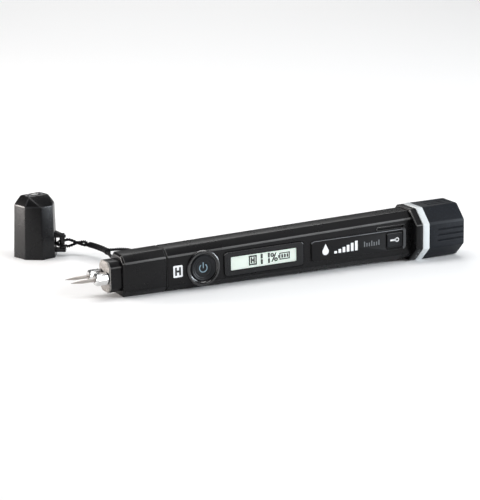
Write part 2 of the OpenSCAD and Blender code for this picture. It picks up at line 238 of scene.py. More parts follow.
def combine(base, cuts=(), adds=(), within=()):
    """Boolean work on closed shells: adds are welded on, cuts are taken away, and what is within stays."""
    target = scratch_object(base)
    tools = []
    for operation, parts in (("UNION", adds), ("DIFFERENCE", cuts), ("INTERSECT", within)):
        for part in parts:
            tool = scratch_object(part)
            tools.append(tool)
            modifier = target.modifiers.new("boolean", "BOOLEAN")
            modifier.operation = operation
            modifier.solver = "EXACT"
            modifier.object = tool
    bpy.context.view_layer.update()
    shown = target.evaluated_get(bpy.context.evaluated_depsgraph_get())
    result = bmesh.new()
    result.from_mesh(shown.to_mesh())
    shown.to_mesh_clear()
    for obj in [target, *tools]:
        mesh = obj.data
        bpy.data.objects.remove(obj)
        bpy.data.meshes.remove(mesh)
    bmesh.ops.remove_doubles(result, verts=result.verts, dist=1e-4)
    bmesh.ops.dissolve_degenerate(result, edges=result.edges, dist=1e-4)
    return result


def shade(bm, sharp_angle=32):
    """Smooth faces, with the edges sharper than an angle kept crisp."""
    limit = math.radians(sharp_angle)
    for face in bm.faces:
        face.smooth = True
    for edge in bm.edges:
        edge.smooth = len(edge.link_faces) == 2 and edge.calc_face_angle(0) < limit


def mark_painted_highlight(bm):
    """Marks the narrow upward faces that round the edges off, where a lighter colour is painted on as a
    highlight from the lights above.
    """
    layer = bm.faces.layers.float.get("painted_edge_highlight") or bm.faces.layers.float.new("painted_edge_highlight")
    bm.normal_update()
    facing = {}
    for face in bm.faces:
        key = tuple(round(c, 1) for c in face.normal)
        facing.setdefault(key, []).append(face)
    total = sum(face.calc_area() for face in bm.faces)
    narrow = 0.0006
    for faces in facing.values():
        if sum(face.calc_area() for face in faces) < 0.008 * total:
            for face in faces:
                width = face.calc_area() / max(edge.calc_length() for edge in face.edges)
                if width < narrow and 0.12 < face.normal.z < 0.69:
                    face[layer] = 1.0


def add_piece(name, bm, place, material, body, replaces=(), sharp_angle=32, paint_highlight=False):
    """Turns a mesh in a local frame into a piece that rides on a body."""
    bmesh.ops.transform(bm, matrix=place, verts=bm.verts)
    # Upward edge bevels are marked for a painted highlight.
    if paint_highlight:
        mark_painted_highlight(bm)
    shade(bm, sharp_angle)
    mesh = bpy.data.meshes.new(name)
    bm.to_mesh(mesh)
    bm.free()
    mesh.materials.append(material)
    obj = bpy.data.objects.new(name, mesh)
    bpy.context.scene.collection.objects.link(obj)
    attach(obj, body)
    if replaces:
        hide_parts(*replaces)
    return obj


# ---------------------------------------------------------------- materials


def new_group(name, inputs, outputs):
    """A shader node group with named float or colour sockets."""
    group = bpy.data.node_groups.new(name, "ShaderNodeTree")
    for label, kind, default in inputs:
        socket = group.interface.new_socket(label, in_out="INPUT", socket_type=kind)
        if default is not None:
            socket.default_value = default
    for label, kind in outputs:
        group.interface.new_socket(label, in_out="OUTPUT", socket_type=kind)
    source = group.nodes.new("NodeGroupInput")
    sink = group.nodes.new("NodeGroupOutput")
    return group, source, sink


def noise(tree, scale, detail=3.0, vector=None):
    node = tree.nodes.new("ShaderNodeTexNoise")
    node.inputs["Detail"].default_value = detail
    if isinstance(scale, bpy.types.NodeSocket):
        tree.links.new(scale, node.inputs["Scale"])
    else:
        node.inputs["Scale"].default_value = scale
    if vector is not None:
        tree.links.new(vector, node.inputs["Vector"])
    return node


def math_node(tree, operation, a, b, clamp=False):
    node = tree.nodes.new("ShaderNodeMath")
    node.operation = operation
    node.use_clamp = clamp
    for index, value in enumerate((a, b)):
        if isinstance(value, bpy.types.NodeSocket):
            tree.links.new(value, node.inputs[index])
        else:
            node.inputs[index].default_value = value
    return node.outputs[0]


def mix_colour(tree, factor, a, b):
    node = tree.nodes.new("ShaderNodeMix")
    node.data_type = "RGBA"
    for index, value in ((0, factor), (6, a), (7, b)):
        if isinstance(value, bpy.types.NodeSocket):
            tree.links.new(value, node.inputs[index])
        else:
            node.inputs[index].default_value = value
    return node.outputs[2]


def moulded_group():
    """Spark-eroded mould texture: fine grain, soft mottling, and a patchy painted highlight on marked edges."""
    group, source, sink = new_group(
        "Moulded Surface",
        [("Base", "NodeSocketColor", (0.02, 0.02, 0.02, 1)),
         ("Lift", "NodeSocketColor", (0.05, 0.05, 0.05, 1)),
         ("Roughness", "NodeSocketFloat", 0.4), ("Roughness Spread", "NodeSocketFloat", 0.1),
         ("Grain Scale", "NodeSocketFloat", 3000.0), ("Mottle Scale", "NodeSocketFloat", 90.0),
         ("Highlight Mask", "NodeSocketFloat", 0.0), ("Highlight Colour", "NodeSocketColor", (0.1, 0.1, 0.1, 1))],
        [("Color", "NodeSocketColor"), ("Roughness", "NodeSocketFloat"), ("Height", "NodeSocketFloat")])
    where = group.nodes.new("ShaderNodeTexCoord").outputs["Object"]
    grain = noise(group, source.outputs["Grain Scale"], 2.0, where)
    mottle = noise(group, source.outputs["Mottle Scale"], 4.0, where)
    fine = math_node(group, "MULTIPLY", grain.outputs[0], 0.5)
    broad = math_node(group, "MULTIPLY", mottle.outputs[0], 0.5)
    blend = math_node(group, "ADD", fine, broad, clamp=True)
    colour = mix_colour(group, blend, source.outputs["Base"], source.outputs["Lift"])
    patchy = math_node(group, "ADD", mottle.outputs[0], 0.4)
    # Painted highlight: marked edge faces are mixed towards the highlight colour, in patches.
    paint_highlight = math_node(group, "MULTIPLY", source.outputs["Highlight Mask"], patchy, clamp=True)
    colour = mix_colour(group, paint_highlight, colour, source.outputs["Highlight Colour"])
    swing = math_node(group, "SUBTRACT", mottle.outputs[0], 0.5)
    spread = math_node(group, "MULTIPLY", swing, source.outputs["Roughness Spread"])
    rough = math_node(group, "ADD", source.outputs["Roughness"], spread, clamp=True)
    group.links.new(colour, sink.inputs["Color"])
    group.links.new(rough, sink.inputs["Roughness"])
    group.links.new(grain.outputs[0], sink.inputs["Height"])
    return group


def brushed_group():
    """Fine lines left by turning or brushing, along the local X axis."""
    group, source, sink = new_group(
        "Tool Marks",
        [("Base", "NodeSocketColor", (0.6, 0.6, 0.6, 1)), ("Dark", "NodeSocketColor", (0.3, 0.3, 0.3, 1)),
         ("Roughness", "NodeSocketFloat", 0.25), ("Line Scale", "NodeSocketFloat", 9000.0),
         ("Stretch", "NodeSocketFloat", 0.04)],
        [("Color", "NodeSocketColor"), ("Roughness", "NodeSocketFloat"), ("Height", "NodeSocketFloat")])
    where = group.nodes.new("ShaderNodeTexCoord").outputs["Object"]
    squeeze = group.nodes.new("ShaderNodeCombineXYZ")
    for axis in ("Y", "Z"):
        squeeze.inputs[axis].default_value = 1.0
    group.links.new(source.outputs["Stretch"], squeeze.inputs["X"])
    product = group.nodes.new("ShaderNodeVectorMath")
    product.operation = "MULTIPLY"
    group.links.new(where, product.inputs[0])
    group.links.new(squeeze.outputs[0], product.inputs[1])
    lines = noise(group, source.outputs["Line Scale"], 3.0, product.outputs[0])
    cloud = noise(group, 350.0, 3.0, where)
    mask = math_node(group, "MULTIPLY", lines.outputs[0], cloud.outputs[0], clamp=True)
    colour = mix_colour(group, mask, source.outputs["Base"], source.outputs["Dark"])
    extra = math_node(group, "MULTIPLY", mask, 0.3)
    rough = math_node(group, "ADD", source.outputs["Roughness"], extra, clamp=True)
    group.links.new(colour, sink.inputs["Color"])
    group.links.new(rough, sink.inputs["Roughness"])
    group.links.new(lines.outputs[0], sink.inputs["Height"])
    return group


def start_material(name):
    material = bpy.data.materials.new(name)
    material.use_nodes = True
    tree = material.node_tree
    return material, tree, tree.nodes["Principled BSDF"]


def add_bump(tree, shader, height, distance, strength=1.0):
    bump = tree.nodes.new("ShaderNodeBump")
    bump.inputs["Strength"].default_value = strength
    bump.inputs["Distance"].default_value = distance
    tree.links.new(height, bump.inputs["Height"])
    tree.links.new(bump.outputs[0], shader.inputs["Normal"])


def rgba(colour):
    return (colour[0], colour[1], colour[2], 1.0)


def moulded(name, base, lift, roughness, spread=0.1, grain=3000.0, depth=0.000008, specular=0.35, coat=0.0,
            highlight_colour=(0.1, 0.1, 0.1)):
    """Moulded plastic or rubber, with the lighter colour painted on its marked edges as a highlight."""
    material, tree, shader = start_material(name)
    node = tree.nodes.new("ShaderNodeGroup")
    node.node_tree = bpy.data.node_groups["Moulded Surface"]
    node.inputs["Base"].default_value = rgba(base)
    node.inputs["Lift"].default_value = rgba(lift)
    node.inputs["Roughness"].default_value = roughness
    node.inputs["Roughness Spread"].default_value = spread
    node.inputs["Grain Scale"].default_value = grain
    node.inputs["Highlight Colour"].default_value = rgba(highlight_colour)
    # The edge attribute carries where the highlight is painted.
    wear = tree.nodes.new("ShaderNodeAttribute")
    wear.attribute_name = "painted_edge_highlight"
    tree.links.new(wear.outputs["Fac"], node.inputs["Highlight Mask"])
    tree.links.new(node.outputs["Color"], shader.inputs["Base Color"])
    tree.links.new(node.outputs["Roughness"], shader.inputs["Roughness"])
    add_bump(tree, shader, node.outputs["Height"], depth)
    shader.inputs["Specular IOR Level"].default_value = specular
    shader.inputs["Coat Weight"].default_value = coat
    shader.inputs["Coat Roughness"].default_value = 0.08
    return material


def metal(name, base, dark, roughness, lines=9000.0, stretch=0.04, depth=0.000004):
    """Bright metal with tool marks."""
    material, tree, shader = start_material(name)
    node = tree.nodes.new("ShaderNodeGroup")
    node.node_tree = bpy.data.node_groups["Tool Marks"]
    node.inputs["Base"].default_value = rgba(base)
    node.inputs["Dark"].default_value = rgba(dark)
    node.inputs["Roughness"].default_value = roughness
    node.inputs["Line Scale"].default_value = lines
    node.inputs["Stretch"].default_value = stretch
    tree.links.new(node.outputs["Color"], shader.inputs["Base Color"])
    tree.links.new(node.outputs["Roughness"], shader.inputs["Roughness"])
    add_bump(tree, shader, node.outputs["Height"], depth)
    shader.inputs["Metallic"].default_value = 1.0
    return material


def glass(name, tint, roughness=0.02, ior=1.45):
    """Clear moulded plastic with a faint smear in its gloss."""
    material, tree, shader = start_material(name)
    where = tree.nodes.new("ShaderNodeTexCoord").outputs["Object"]
    smear = noise(tree, 160.0, 3.0, where)
    rough = math_node(tree, "MULTIPLY_ADD", smear.outputs[0], roughness)
    rough.node.inputs[2].default_value = roughness * 0.5
    tree.links.new(rough, shader.inputs["Roughness"])
    shader.inputs["Base Color"].default_value = rgba(tint)
    shader.inputs["Transmission Weight"].default_value = 1.0
    shader.inputs["IOR"].default_value = ior
    return material


def speckled_rubber(name, base, fleck, roughness):
    """Soft grip rubber: fine pebble, with pale flecks in the mix."""
    # The highlight colour here is a painted highlight on the grip's marked edges.
    material = moulded(name, base, [c * 1.7 for c in base], roughness, 0.12, 2600.0, 0.00003, 0.2,
                       highlight_colour=(0.02, 0.022, 0.026))
    tree = material.node_tree
    shader = tree.nodes["Principled BSDF"]
    where = tree.nodes.new("ShaderNodeTexCoord").outputs["Object"]
    flecks = noise(tree, 2300.0, 2.0, where)
    ramp = tree.nodes.new("ShaderNodeValToRGB")
    ramp.color_ramp.elements[0].position = 0.56
    ramp.color_ramp.elements[1].position = 0.72
    tree.links.new(flecks.outputs[0], ramp.inputs[0])
    old = shader.inputs["Base Color"].links[0].from_socket
    colour = mix_colour(tree, ramp.outputs[0], old, rgba(fleck))
    tree.links.new(colour, shader.inputs["Base Color"])
    return material


def granular_metal(name, light, dark):
    """Bead-blasted plate: bright grains on a darker ground."""
    material, tree, shader = start_material(name)
    where = tree.nodes.new("ShaderNodeTexCoord").outputs["Object"]
    cells = tree.nodes.new("ShaderNodeTexVoronoi")
    cells.inputs["Scale"].default_value = 2200.0
    tree.links.new(where, cells.inputs["Vector"])
    cloud = noise(tree, 700.0, 4.0, where)
    mask = math_node(tree, "MULTIPLY", cells.outputs["Distance"], cloud.outputs[0], clamp=True)
    tree.links.new(mix_colour(tree, mask, rgba(light), rgba(dark)), shader.inputs["Base Color"])
    rough = math_node(tree, "ADD", mask, 0.38, clamp=True)
    tree.links.new(rough, shader.inputs["Roughness"])
    add_bump(tree, shader, cells.outputs["Distance"], 0.00004)
    shader.inputs["Metallic"].default_value = 0.85
    return material


def display_face(name, colour, glow):
    """Reflective liquid-crystal face with a fine polariser grain and a painted glow from emission."""
    material, tree, shader = start_material(name)
    where = tree.nodes.new("ShaderNodeTexCoord").outputs["Object"]
    grain = noise(tree, 1800.0, 2.0, where)
    shadow = [c * 0.9 for c in colour]
    mixed = mix_colour(tree, grain.outputs[0], rgba(colour), rgba(shadow))
    tree.links.new(mixed, shader.inputs["Base Color"])
    # The emission paints a glow into the display face, which has no light of its own.
    tree.links.new(mixed, shader.inputs["Emission Color"])
    shader.inputs["Emission Strength"].default_value = glow
    shader.inputs["Roughness"].default_value = 0.5
    return material


def ink(name, colour, roughness=0.55, glow=0.0):
    """Printed ink with slightly uneven cover, and a painted glow where glow is given."""
    material, tree, shader = start_material(name)
    where = tree.nodes.new("ShaderNodeTexCoord").outputs["Object"]
    cover = noise(tree, 1400.0, 3.0, where)
    thin = [c * 0.85 for c in colour]
    mixed = mix_colour(tree, cover.outputs[0], rgba(colour), rgba(thin))
    tree.links.new(mixed, shader.inputs["Base Color"])
    # Emission paints a faint glow into the print.
    if glow:
        tree.links.new(mixed, shader.inputs["Emission Color"])
        shader.inputs["Emission Strength"].default_value = glow
    shader.inputs["Roughness"].default_value = roughness
    return material


def yarn(name, base, sheen):
    """Black nylon yarn: streaks of fibre with a soft sheen."""
    material, tree, shader = start_material(name)
    where = tree.nodes.new("ShaderNodeTexCoord").outputs["Object"]
    fibre = noise(tree, 5200.0, 4.0, where)
    tree.links.new(mix_colour(tree, fibre.outputs[0], rgba(base), rgba([c * 4 for c in base])),
                   shader.inputs["Base Color"])
    add_bump(tree, shader, fibre.outputs[0], 0.00005)
    shader.inputs["Roughness"].default_value = 0.6
    shader.inputs["Specular IOR Level"].default_value = 0.1
    shader.inputs["Sheen Weight"].default_value = sheen
    shader.inputs["Sheen Roughness"].default_value = 0.4
    return material


def make_materials(colours):
    """Every finish of the meter, by a maker's name."""
    moulded_group()
    brushed_group()
    body = colours.body
    lift = [c * 2.2 for c in body]
    return {
        # The highlight colours are painted highlights on marked edges; the glow values are painted glow on the
        # display and print.
        "body": moulded("satin_black", body, lift, 0.28, 0.1, 3600.0, 0.000006, 0.21),
        "cap": moulded("cap_black", body, lift, 0.27, 0.08, 3000.0, 0.000006, 0.28,
                       highlight_colour=(0.025, 0.025, 0.027)),
        "panel": moulded("panel_black", colours.panel, [c * 1.6 for c in colours.panel], 0.3, 0.08, 4200.0,
                         0.000005, 0.2, highlight_colour=(0.17, 0.175, 0.185)),
        "gloss": moulded("collar_gloss", colours.panel, [c * 1.6 for c in colours.panel], 0.24, 0.06, 4200.0,
                         0.000003, 0.5, 0.6),
        "bezel": moulded("bezel_grey", colours.bezel, [c * 1.3 for c in colours.bezel], 0.22, 0.06, 4200.0,
                         0.000003, 0.3),
        "button": moulded("button_rubber", colours.button, [c * 1.8 for c in colours.button], 0.42, 0.12,
                          3600.0,
                          0.000012, 0.25),
        "grip": speckled_rubber("grip_rubber", colours.grip, (0.018, 0.023, 0.031), 0.55),
        "seal": moulded("seal_rubber", (0.008, 0.008, 0.009), (0.02, 0.02, 0.02), 0.5, 0.1, 2000.0, 0.00001),
        "ring": moulded("pearl_ring", colours.ring, [c * 0.93 for c in colours.ring], 0.22, 0.08, 2400.0,
                        0.000004, 0.5, 0.3),
        "plate": granular_metal("blasted_plate", (0.34, 0.325, 0.31), (0.05, 0.045, 0.04)),
        "chrome": metal("nut_chrome", (0.78, 0.78, 0.78), (0.3, 0.29, 0.28), 0.17, 5200.0, 0.08, 0.000002),
        "steel": metal("ground_steel", (0.5, 0.47, 0.44), (0.14, 0.12, 0.11), 0.26, 9000.0, 0.5, 0.000004),
        "brass": metal("turned_brass", (0.78, 0.6, 0.3), (0.4, 0.28, 0.12), 0.25),
        "rim": metal("socket_rim", (0.2, 0.2, 0.21), (0.06, 0.06, 0.06), 0.25, 5200.0, 0.5, 0.000002),
        "mirror": metal("mirror_cone", (0.95, 0.95, 0.95), (0.8, 0.8, 0.8), 0.04, 2500.0, 1.0, 0.000001),
        "window": glass("display_glass", (0.96, 0.98, 0.97)),
        "lens": glass("lens_acrylic", (0.97, 0.98, 1.0), 0.01, 1.49),
        "lcd": display_face("lcd_face", colours.lcd, 0.8),
        "segment": ink("lcd_segment", (0.008, 0.01, 0.009), 0.5),
        "white_ink": ink("white_print", (0.82, 0.83, 0.84), 0.5, 0.12),
        "dark_ink": ink("dark_print", (0.01, 0.01, 0.011), 0.5),
        "blue_ink": ink("blue_grey_print", colours.icon, 0.45, 0.1),
        "grey_ink": ink("grey_print", (0.16, 0.17, 0.18), 0.5),
        "yarn": yarn("nylon_yarn", colours.cord, 0.02),
        "insulator": moulded("ivory_insulator", (0.7, 0.67, 0.58), (0.76, 0.74, 0.66), 0.45),
        "board": moulded("solder_mask", (0.012, 0.12, 0.04), (0.03, 0.2, 0.08), 0.3, 0.1, 900.0),
        "chip": moulded("chip_moulding", (0.015, 0.015, 0.016), (0.03, 0.03, 0.03), 0.55),
        "film": moulded("switch_film", (0.5, 0.24, 0.04), (0.6, 0.32, 0.08), 0.3),
        "wire": moulded("lead_sleeve", (0.45, 0.02, 0.015), (0.55, 0.05, 0.03), 0.4),
        "sleeve": moulded("cell_sleeve", (0.05, 0.1, 0.19), (0.09, 0.16, 0.28), 0.25, 0.08, 1200.0),
        "phosphor": moulded("led_phosphor", (0.85, 0.72, 0.25), (0.9, 0.8, 0.4), 0.35),
        "white": moulded("white_moulding", (0.75, 0.75, 0.74), (0.82, 0.82, 0.81), 0.35),
        "label": moulded("check_label", (0.3, 0.3, 0.3), (0.55, 0.55, 0.54), 0.4, 0.1, 900.0),
        "resistor": moulded("resistor_lacquer", (0.5, 0.36, 0.2), (0.6, 0.46, 0.3), 0.35),
    }


MATERIALS = {}


# ---------------------------------------------------------------- settings


class MeterSizes(bpy.types.PropertyGroup):
    body_edge: FloatProperty(
        name="Body edge", description="Radius of the long ridges of the body, mm", default=0.55, min=0.1,
        max=1.5)
    shoulder_edge: FloatProperty(
        name="Shoulder edge", description="Radius round the nose shoulder, mm", default=0.9, min=0.1, max=1.5)
    seam_edge: FloatProperty(
        name="Seam edge", description="Radius at the seam between nose and barrel, mm", default=0.3, min=0.05,
        max=0.6)
    cap_edge: FloatProperty(
        name="Cap edge", description="Radius of the cap's edges, mm", default=0.45, min=0.1, max=1.0)
    grip_edge: FloatProperty(
        name="Grip edge", description="Radius of the head's long edges, mm", default=0.8, min=0.1, max=1.5)
    ring_edge: FloatProperty(
        name="Ring edge", description="Radius of the trim ring's edges, mm", default=0.3, min=0.1, max=0.8)
    twist_pitch: FloatProperty(
        name="Twist pitch", description="Length of one turn of the twisted pair, mm", default=16.0, min=4.0,
        max=20.0)
    ply_pitch: FloatProperty(
        name="Ply pitch", description="Length of one turn of the yarns in a strand, mm", default=2.8, min=1.0,
        max=5.0)
    whipping_pitch: FloatProperty(
        name="Whipping pitch", description="Distance between turns of the whipping, mm", default=1.9, min=0.4,
        max=2.0)


class MeterColours(bpy.types.PropertyGroup):
    body: FloatVectorProperty(
        name="Body", description="Satin black plastic", subtype="COLOR", size=3,
        default=(0.0028, 0.0027, 0.0031))
    panel: FloatVectorProperty(
        name="Panel", description="Control panel plastic", subtype="COLOR", size=3,
        default=(0.0032, 0.0031, 0.0036))
    bezel: FloatVectorProperty(
        name="Bezel", description="Display bezel plastic", subtype="COLOR", size=3,
        default=(0.007, 0.0072, 0.0082))
    button: FloatVectorProperty(
        name="Button", description="Button rubber", subtype="COLOR", size=3, default=(0.0045, 0.005, 0.0062))
    grip: FloatVectorProperty(
        name="Grip", description="Head grip rubber", subtype="COLOR", size=3,
        default=(0.0035, 0.0045, 0.0068))
    ring: FloatVectorProperty(
        name="Ring", description="Trim ring", subtype="COLOR", size=3, default=(0.66, 0.69, 0.7))
    lcd: FloatVectorProperty(
        name="Display", description="Display face", subtype="COLOR", size=3, default=(0.68, 0.75, 0.7))
    icon: FloatVectorProperty(
        name="Icon", description="Power icon", subtype="COLOR", size=3, default=(0.22, 0.33, 0.4))
    cord: FloatVectorProperty(
        name="Cord", description="Tether yarn", subtype="COLOR", size=3, default=(0.0025, 0.0025, 0.003))


class MeterView(bpy.types.PropertyGroup):
    azimuth: FloatProperty(
        name="Azimuth", description="Turn of the camera about the vertical, degrees", default=-27.0)
    elevation: FloatProperty(
        name="Elevation", description="Height of the camera above the horizon, degrees", default=14.0)
    lens: FloatProperty(name="Lens", description="Focal length, mm", default=144.0, min=20, max=300)
    distance: FloatProperty(
        name="Distance", description="From the camera to its target", default=0.949, unit="LENGTH")
    target_x: FloatProperty(
        name="Target", description="Distance of the target behind the nose shoulder, mm", default=63.65)
    target_z: FloatProperty(
        name="Target height", description="Height of the target over the floor, mm", default=14.4)


def settings():
    scene = bpy.context.scene
    return scene.meter_sizes, scene.meter_colours, scene.meter_view


def front_face():
    """Where the control face lies, along Y."""
    return local_box("barrel", METER)[0].y


# ---------------------------------------------------------------- marks


def bar(x0, x1, z0, z1, surface, thickness=0.03, round_by=0.0):
    """A printed bar on a surface that looks along -Y."""
    return pad((x0, surface - thickness, z0), (x1, surface + 0.02, z1), round_by, 0.0, 4)


def arc(cx, cz, inner, outer, start, sweep, surface, thickness=0.03, steps=40):
    """A printed ring or part of one. Angles run in degrees from +Z towards +X."""
    bm = bmesh.new()
    y0, y1 = surface - thickness, surface + 0.02
    points = [(cx, y0, cz + inner), (cx, y1, cz + inner), (cx, y1, cz + outer), (cx, y0, cz + outer)]
    face = start_ring(bm, points)
    bmesh.ops.rotate(bm, cent=(cx, 0, cz), matrix=Matrix.Rotation(math.radians(start), 3, "Y"),
                     verts=bm.verts)
    whole = abs(sweep) >= 360
    if whole:
        edges = list(face.edges)
        verts = list(face.verts)
        bmesh.ops.delete(bm, geom=[face], context="FACES_ONLY")
        bmesh.ops.spin(bm, geom=verts + edges, cent=(cx, 0, cz), axis=(0, 1, 0), angle=math.tau, steps=steps,
                       use_merge=True)
    else:
        bmesh.ops.spin(bm, geom=list(bm.verts) + list(bm.edges) + [face], cent=(cx, 0, cz), axis=(0, 1, 0),
                       angle=math.radians(sweep), steps=steps)
    bmesh.ops.remove_doubles(bm, verts=bm.verts, dist=1e-5)
    bmesh.ops.recalc_face_normals(bm, faces=bm.faces)
    return bm


def plate(outline, surface, thickness=0.03):
    """A printed patch inside an outline of (x, z) points."""
    bm = bmesh.new()
    face = start_ring(bm, [(x, surface + 0.02, z) for x, z in outline])
    new = bmesh.ops.extrude_face_region(bm, geom=[face])["geom"]
    verts = [g for g in new if isinstance(g, bmesh.types.BMVert)]
    bmesh.ops.translate(bm, vec=(0, -thickness - 0.02, 0), verts=verts)
    bmesh.ops.recalc_face_normals(bm, faces=bm.faces)
    return bm


def letter_h(cx, cz, width, height, stroke, surface):
    """Two uprights and a crossbar, the usual sign for hold."""
    left, right = cx - width / 2, cx + width / 2
    return [bar(left, left + stroke, cz - height / 2, cz + height / 2, surface),
            bar(right - stroke, right, cz - height / 2, cz + height / 2, surface),
            bar(left + stroke, right - stroke, cz - stroke / 2, cz + stroke / 2, surface)]


# ---------------------------------------------------------------- pieces


class MeterOperator(bpy.types.Operator):
    """Shared options of the building steps"""

    bl_idname = "meter.step"
    bl_label = "Meter step"
    bl_options = {"REGISTER", "UNDO"}


class METER_OT_stage(MeterOperator):
    """Floor, camera and soft studio light"""

    bl_idname = "meter.stage"
    bl_label = "Stage"

    def execute(self, context):
        colours, look = settings()[1:]
        MATERIALS.update(make_materials(colours))
        self.add_camera(look)
        self.add_floor()
        self.add_lights()
        return {"FINISHED"}

    def add_camera(self, look):
        azimuth, elevation = math.radians(look.azimuth), math.radians(look.elevation)
        back = Vector((math.sin(azimuth) * math.cos(elevation), -math.cos(azimuth) * math.cos(elevation),
                       math.sin(elevation)))
        target = METER @ Vector((look.target_x, 0, 0))
        target.z = look.target_z * MM
        data = bpy.data.cameras.new("camera")
        data.lens = look.lens
        data.sensor_width = 36
        data.clip_start, data.clip_end = 0.01, 20
        camera = bpy.data.objects.new("camera", data)
        camera.location = target + back * look.distance
        camera.rotation_mode = "QUATERNION"
        camera.rotation_quaternion = (-back).to_track_quat("-Z", "Y")
        bpy.context.scene.collection.objects.link(camera)
        bpy.context.scene.camera = camera

    def add_floor(self):
        bm = bmesh.new()
        bmesh.ops.create_grid(bm, x_segments=1, y_segments=1, size=6)
        bmesh.ops.translate(bm, vec=(0, 0, -0.00002), verts=bm.verts)
        mesh = bpy.data.meshes.new("floor")
        bm.to_mesh(mesh)
        bm.free()
        floor = bpy.data.objects.new("floor", mesh)
        material, tree, shader = start_material("pale_floor")
        where = tree.nodes.new("ShaderNodeTexCoord").outputs["Object"]
        cloud = noise(tree, 3.0, 2.0, where)
        tree.links.new(mix_colour(tree, cloud.outputs[0], (0.93, 0.93, 0.93, 1), (0.91, 0.91, 0.91, 1)),
                       shader.inputs["Base Color"])
        shader.inputs["Roughness"].default_value = 0.9
        shader.inputs["Specular IOR Level"].default_value = 0.1
        mesh.materials.append(material)
        bpy.context.scene.collection.objects.link(floor)

    def add_lights(self):
        bpy.context.scene.view_settings.view_transform = "Standard"
        world = bpy.data.worlds.new("studio")
        bpy.context.scene.world = world
        world.use_nodes = True
        world.node_tree.nodes["Background"].inputs["Color"].default_value = (1, 1, 1, 1)
        world.node_tree.nodes["Background"].inputs["Strength"].default_value = 0.1
        middle, far_floor = (0, 0, 0), (0.5, 1.1, 0)
        softboxes = (("top", (-0.12, 0.12, 1.15), middle, 0.8, 8.0, (1, 1, 1)),
                     ("chamfer", (0.5, -0.28, 1.0), middle, 0.5, 0.7, (1, 1, 1)),
                     ("right", (0.95, -0.5, 0.16), middle, 0.45, 13.0, (0.86, 0.93, 1)),
                     ("left", (-0.7, 0.42, 0.12), middle, 0.3, 9.0, (1, 0.94, 0.9)),
                     ("low", (-1.0, -0.6, 0.16), middle, 0.3, 1.5, (1, 1, 1)),
                     ("ridge", (0.45, -0.85, 0.65), middle, 0.35, 3.5, (1, 1, 1)),
                     ("floor", (0.5, 1.2, 1.0), far_floor, 0.9, 8.0, (1, 1, 1)))
        for name, place, aim, size, power, tint in softboxes:
            data = bpy.data.lights.new(name, "AREA")
            data.shape = "SQUARE"
            data.size = size
            data.energy = power
            data.color = tint
            light = bpy.data.objects.new(name, data)
            light.location = place
            light.rotation_mode = "QUATERNION"
            light.rotation_quaternion = (Vector(aim) - Vector(place)).to_track_quat("-Z", "Y")
            bpy.context.scene.collection.objects.link(light)


class METER_OT_nose(MeterOperator):
    """Nose housing with its cap collar and tether ears, and the metal pin plate"""

    bl_idname = "meter.nose"
    bl_label = "Nose"

    def execute(self, context):
        sizes = settings()[0]
        seam = local_box("nose_seal", METER)[0].x
        at_shoulder = local_section("nose_housing", METER, 0.0, 0.02)
        at_seam = local_section("nose_housing", METER, seam, 0.1)
        depth = 2 * abs(front_face())
        heights = (at_shoulder[1].z - at_shoulder[0].z, at_seam[1].z - at_seam[0].z)
        plate_low, plate_high = local_box("pin_plate", METER)
        collar_d, collar_h = plate_high.y - plate_low.y, plate_high.z - plate_low.z
        gap = 0.35
        shell = prism(0, seam - gap, depth, heights, 3.3, sizes.body_edge, sizes.shoulder_edge,
                      sizes.seam_edge, 4,
                      0.18)
        collar = prism(plate_high.x, 1.5, collar_d, (collar_h, collar_h), 2.4, 0.4, 0.2, 0)
        spigot = prism(seam - 1, seam + 3, depth - 2.8, (heights[1] - 2.8, heights[1] - 2.8), 2.7)
        pin_low, pin_high = local_box("tether_pin", METER)
        px, py = (pin_low.x + pin_high.x) / 2, (pin_low.y + pin_high.y) / 2
        ears = []
        for z0, z1 in ((-4.6, -1.5), (1.5, 4.6)):
            ear = block((px - 2, depth / 2 - 1.2, z0), (px + 2, py, z1))
            tip = rod("Z", z0, z1, 2.0, (px, py), 40)
            ears += [ear, tip]
        shell = combine(shell, [], [collar, spigot, *ears])
        add_piece("nose_shell", shell, METER, MATERIALS["body"], "meter", ["nose_housing"],
                  paint_highlight=True)
        self.add_plate(plate_low, plate_high)
        return {"FINISHED"}

    def add_plate(self, low, high):
        bm = prism(low.x, high.x, high.y - low.y, (high.z - low.z,) * 2, 2.4, 0.5, 0.22, 0)
        holes = [rod("X", low.x - 1, high.x + 1, 1.5, (side * 3.6, 0)) for side in (-1, 1)]
        # Black discs behind the nuts stand in for the shade in the recess between nut and plate.
        shade_discs = [combine(rod("X", low.x - 0.62, low.x, 2.75, (side * 3.6, 0)),
                           [rod("X", low.x - 1, high.x + 1, 1.5, (side * 3.6, 0))]) for side in (-1, 1)]
        add_piece("nose_shade_discs", join(*shade_discs), METER, MATERIALS["seal"], "meter")
        add_piece("nose_plate", combine(bm, holes), METER, MATERIALS["plate"], "meter",
                  ["pin_plate"])


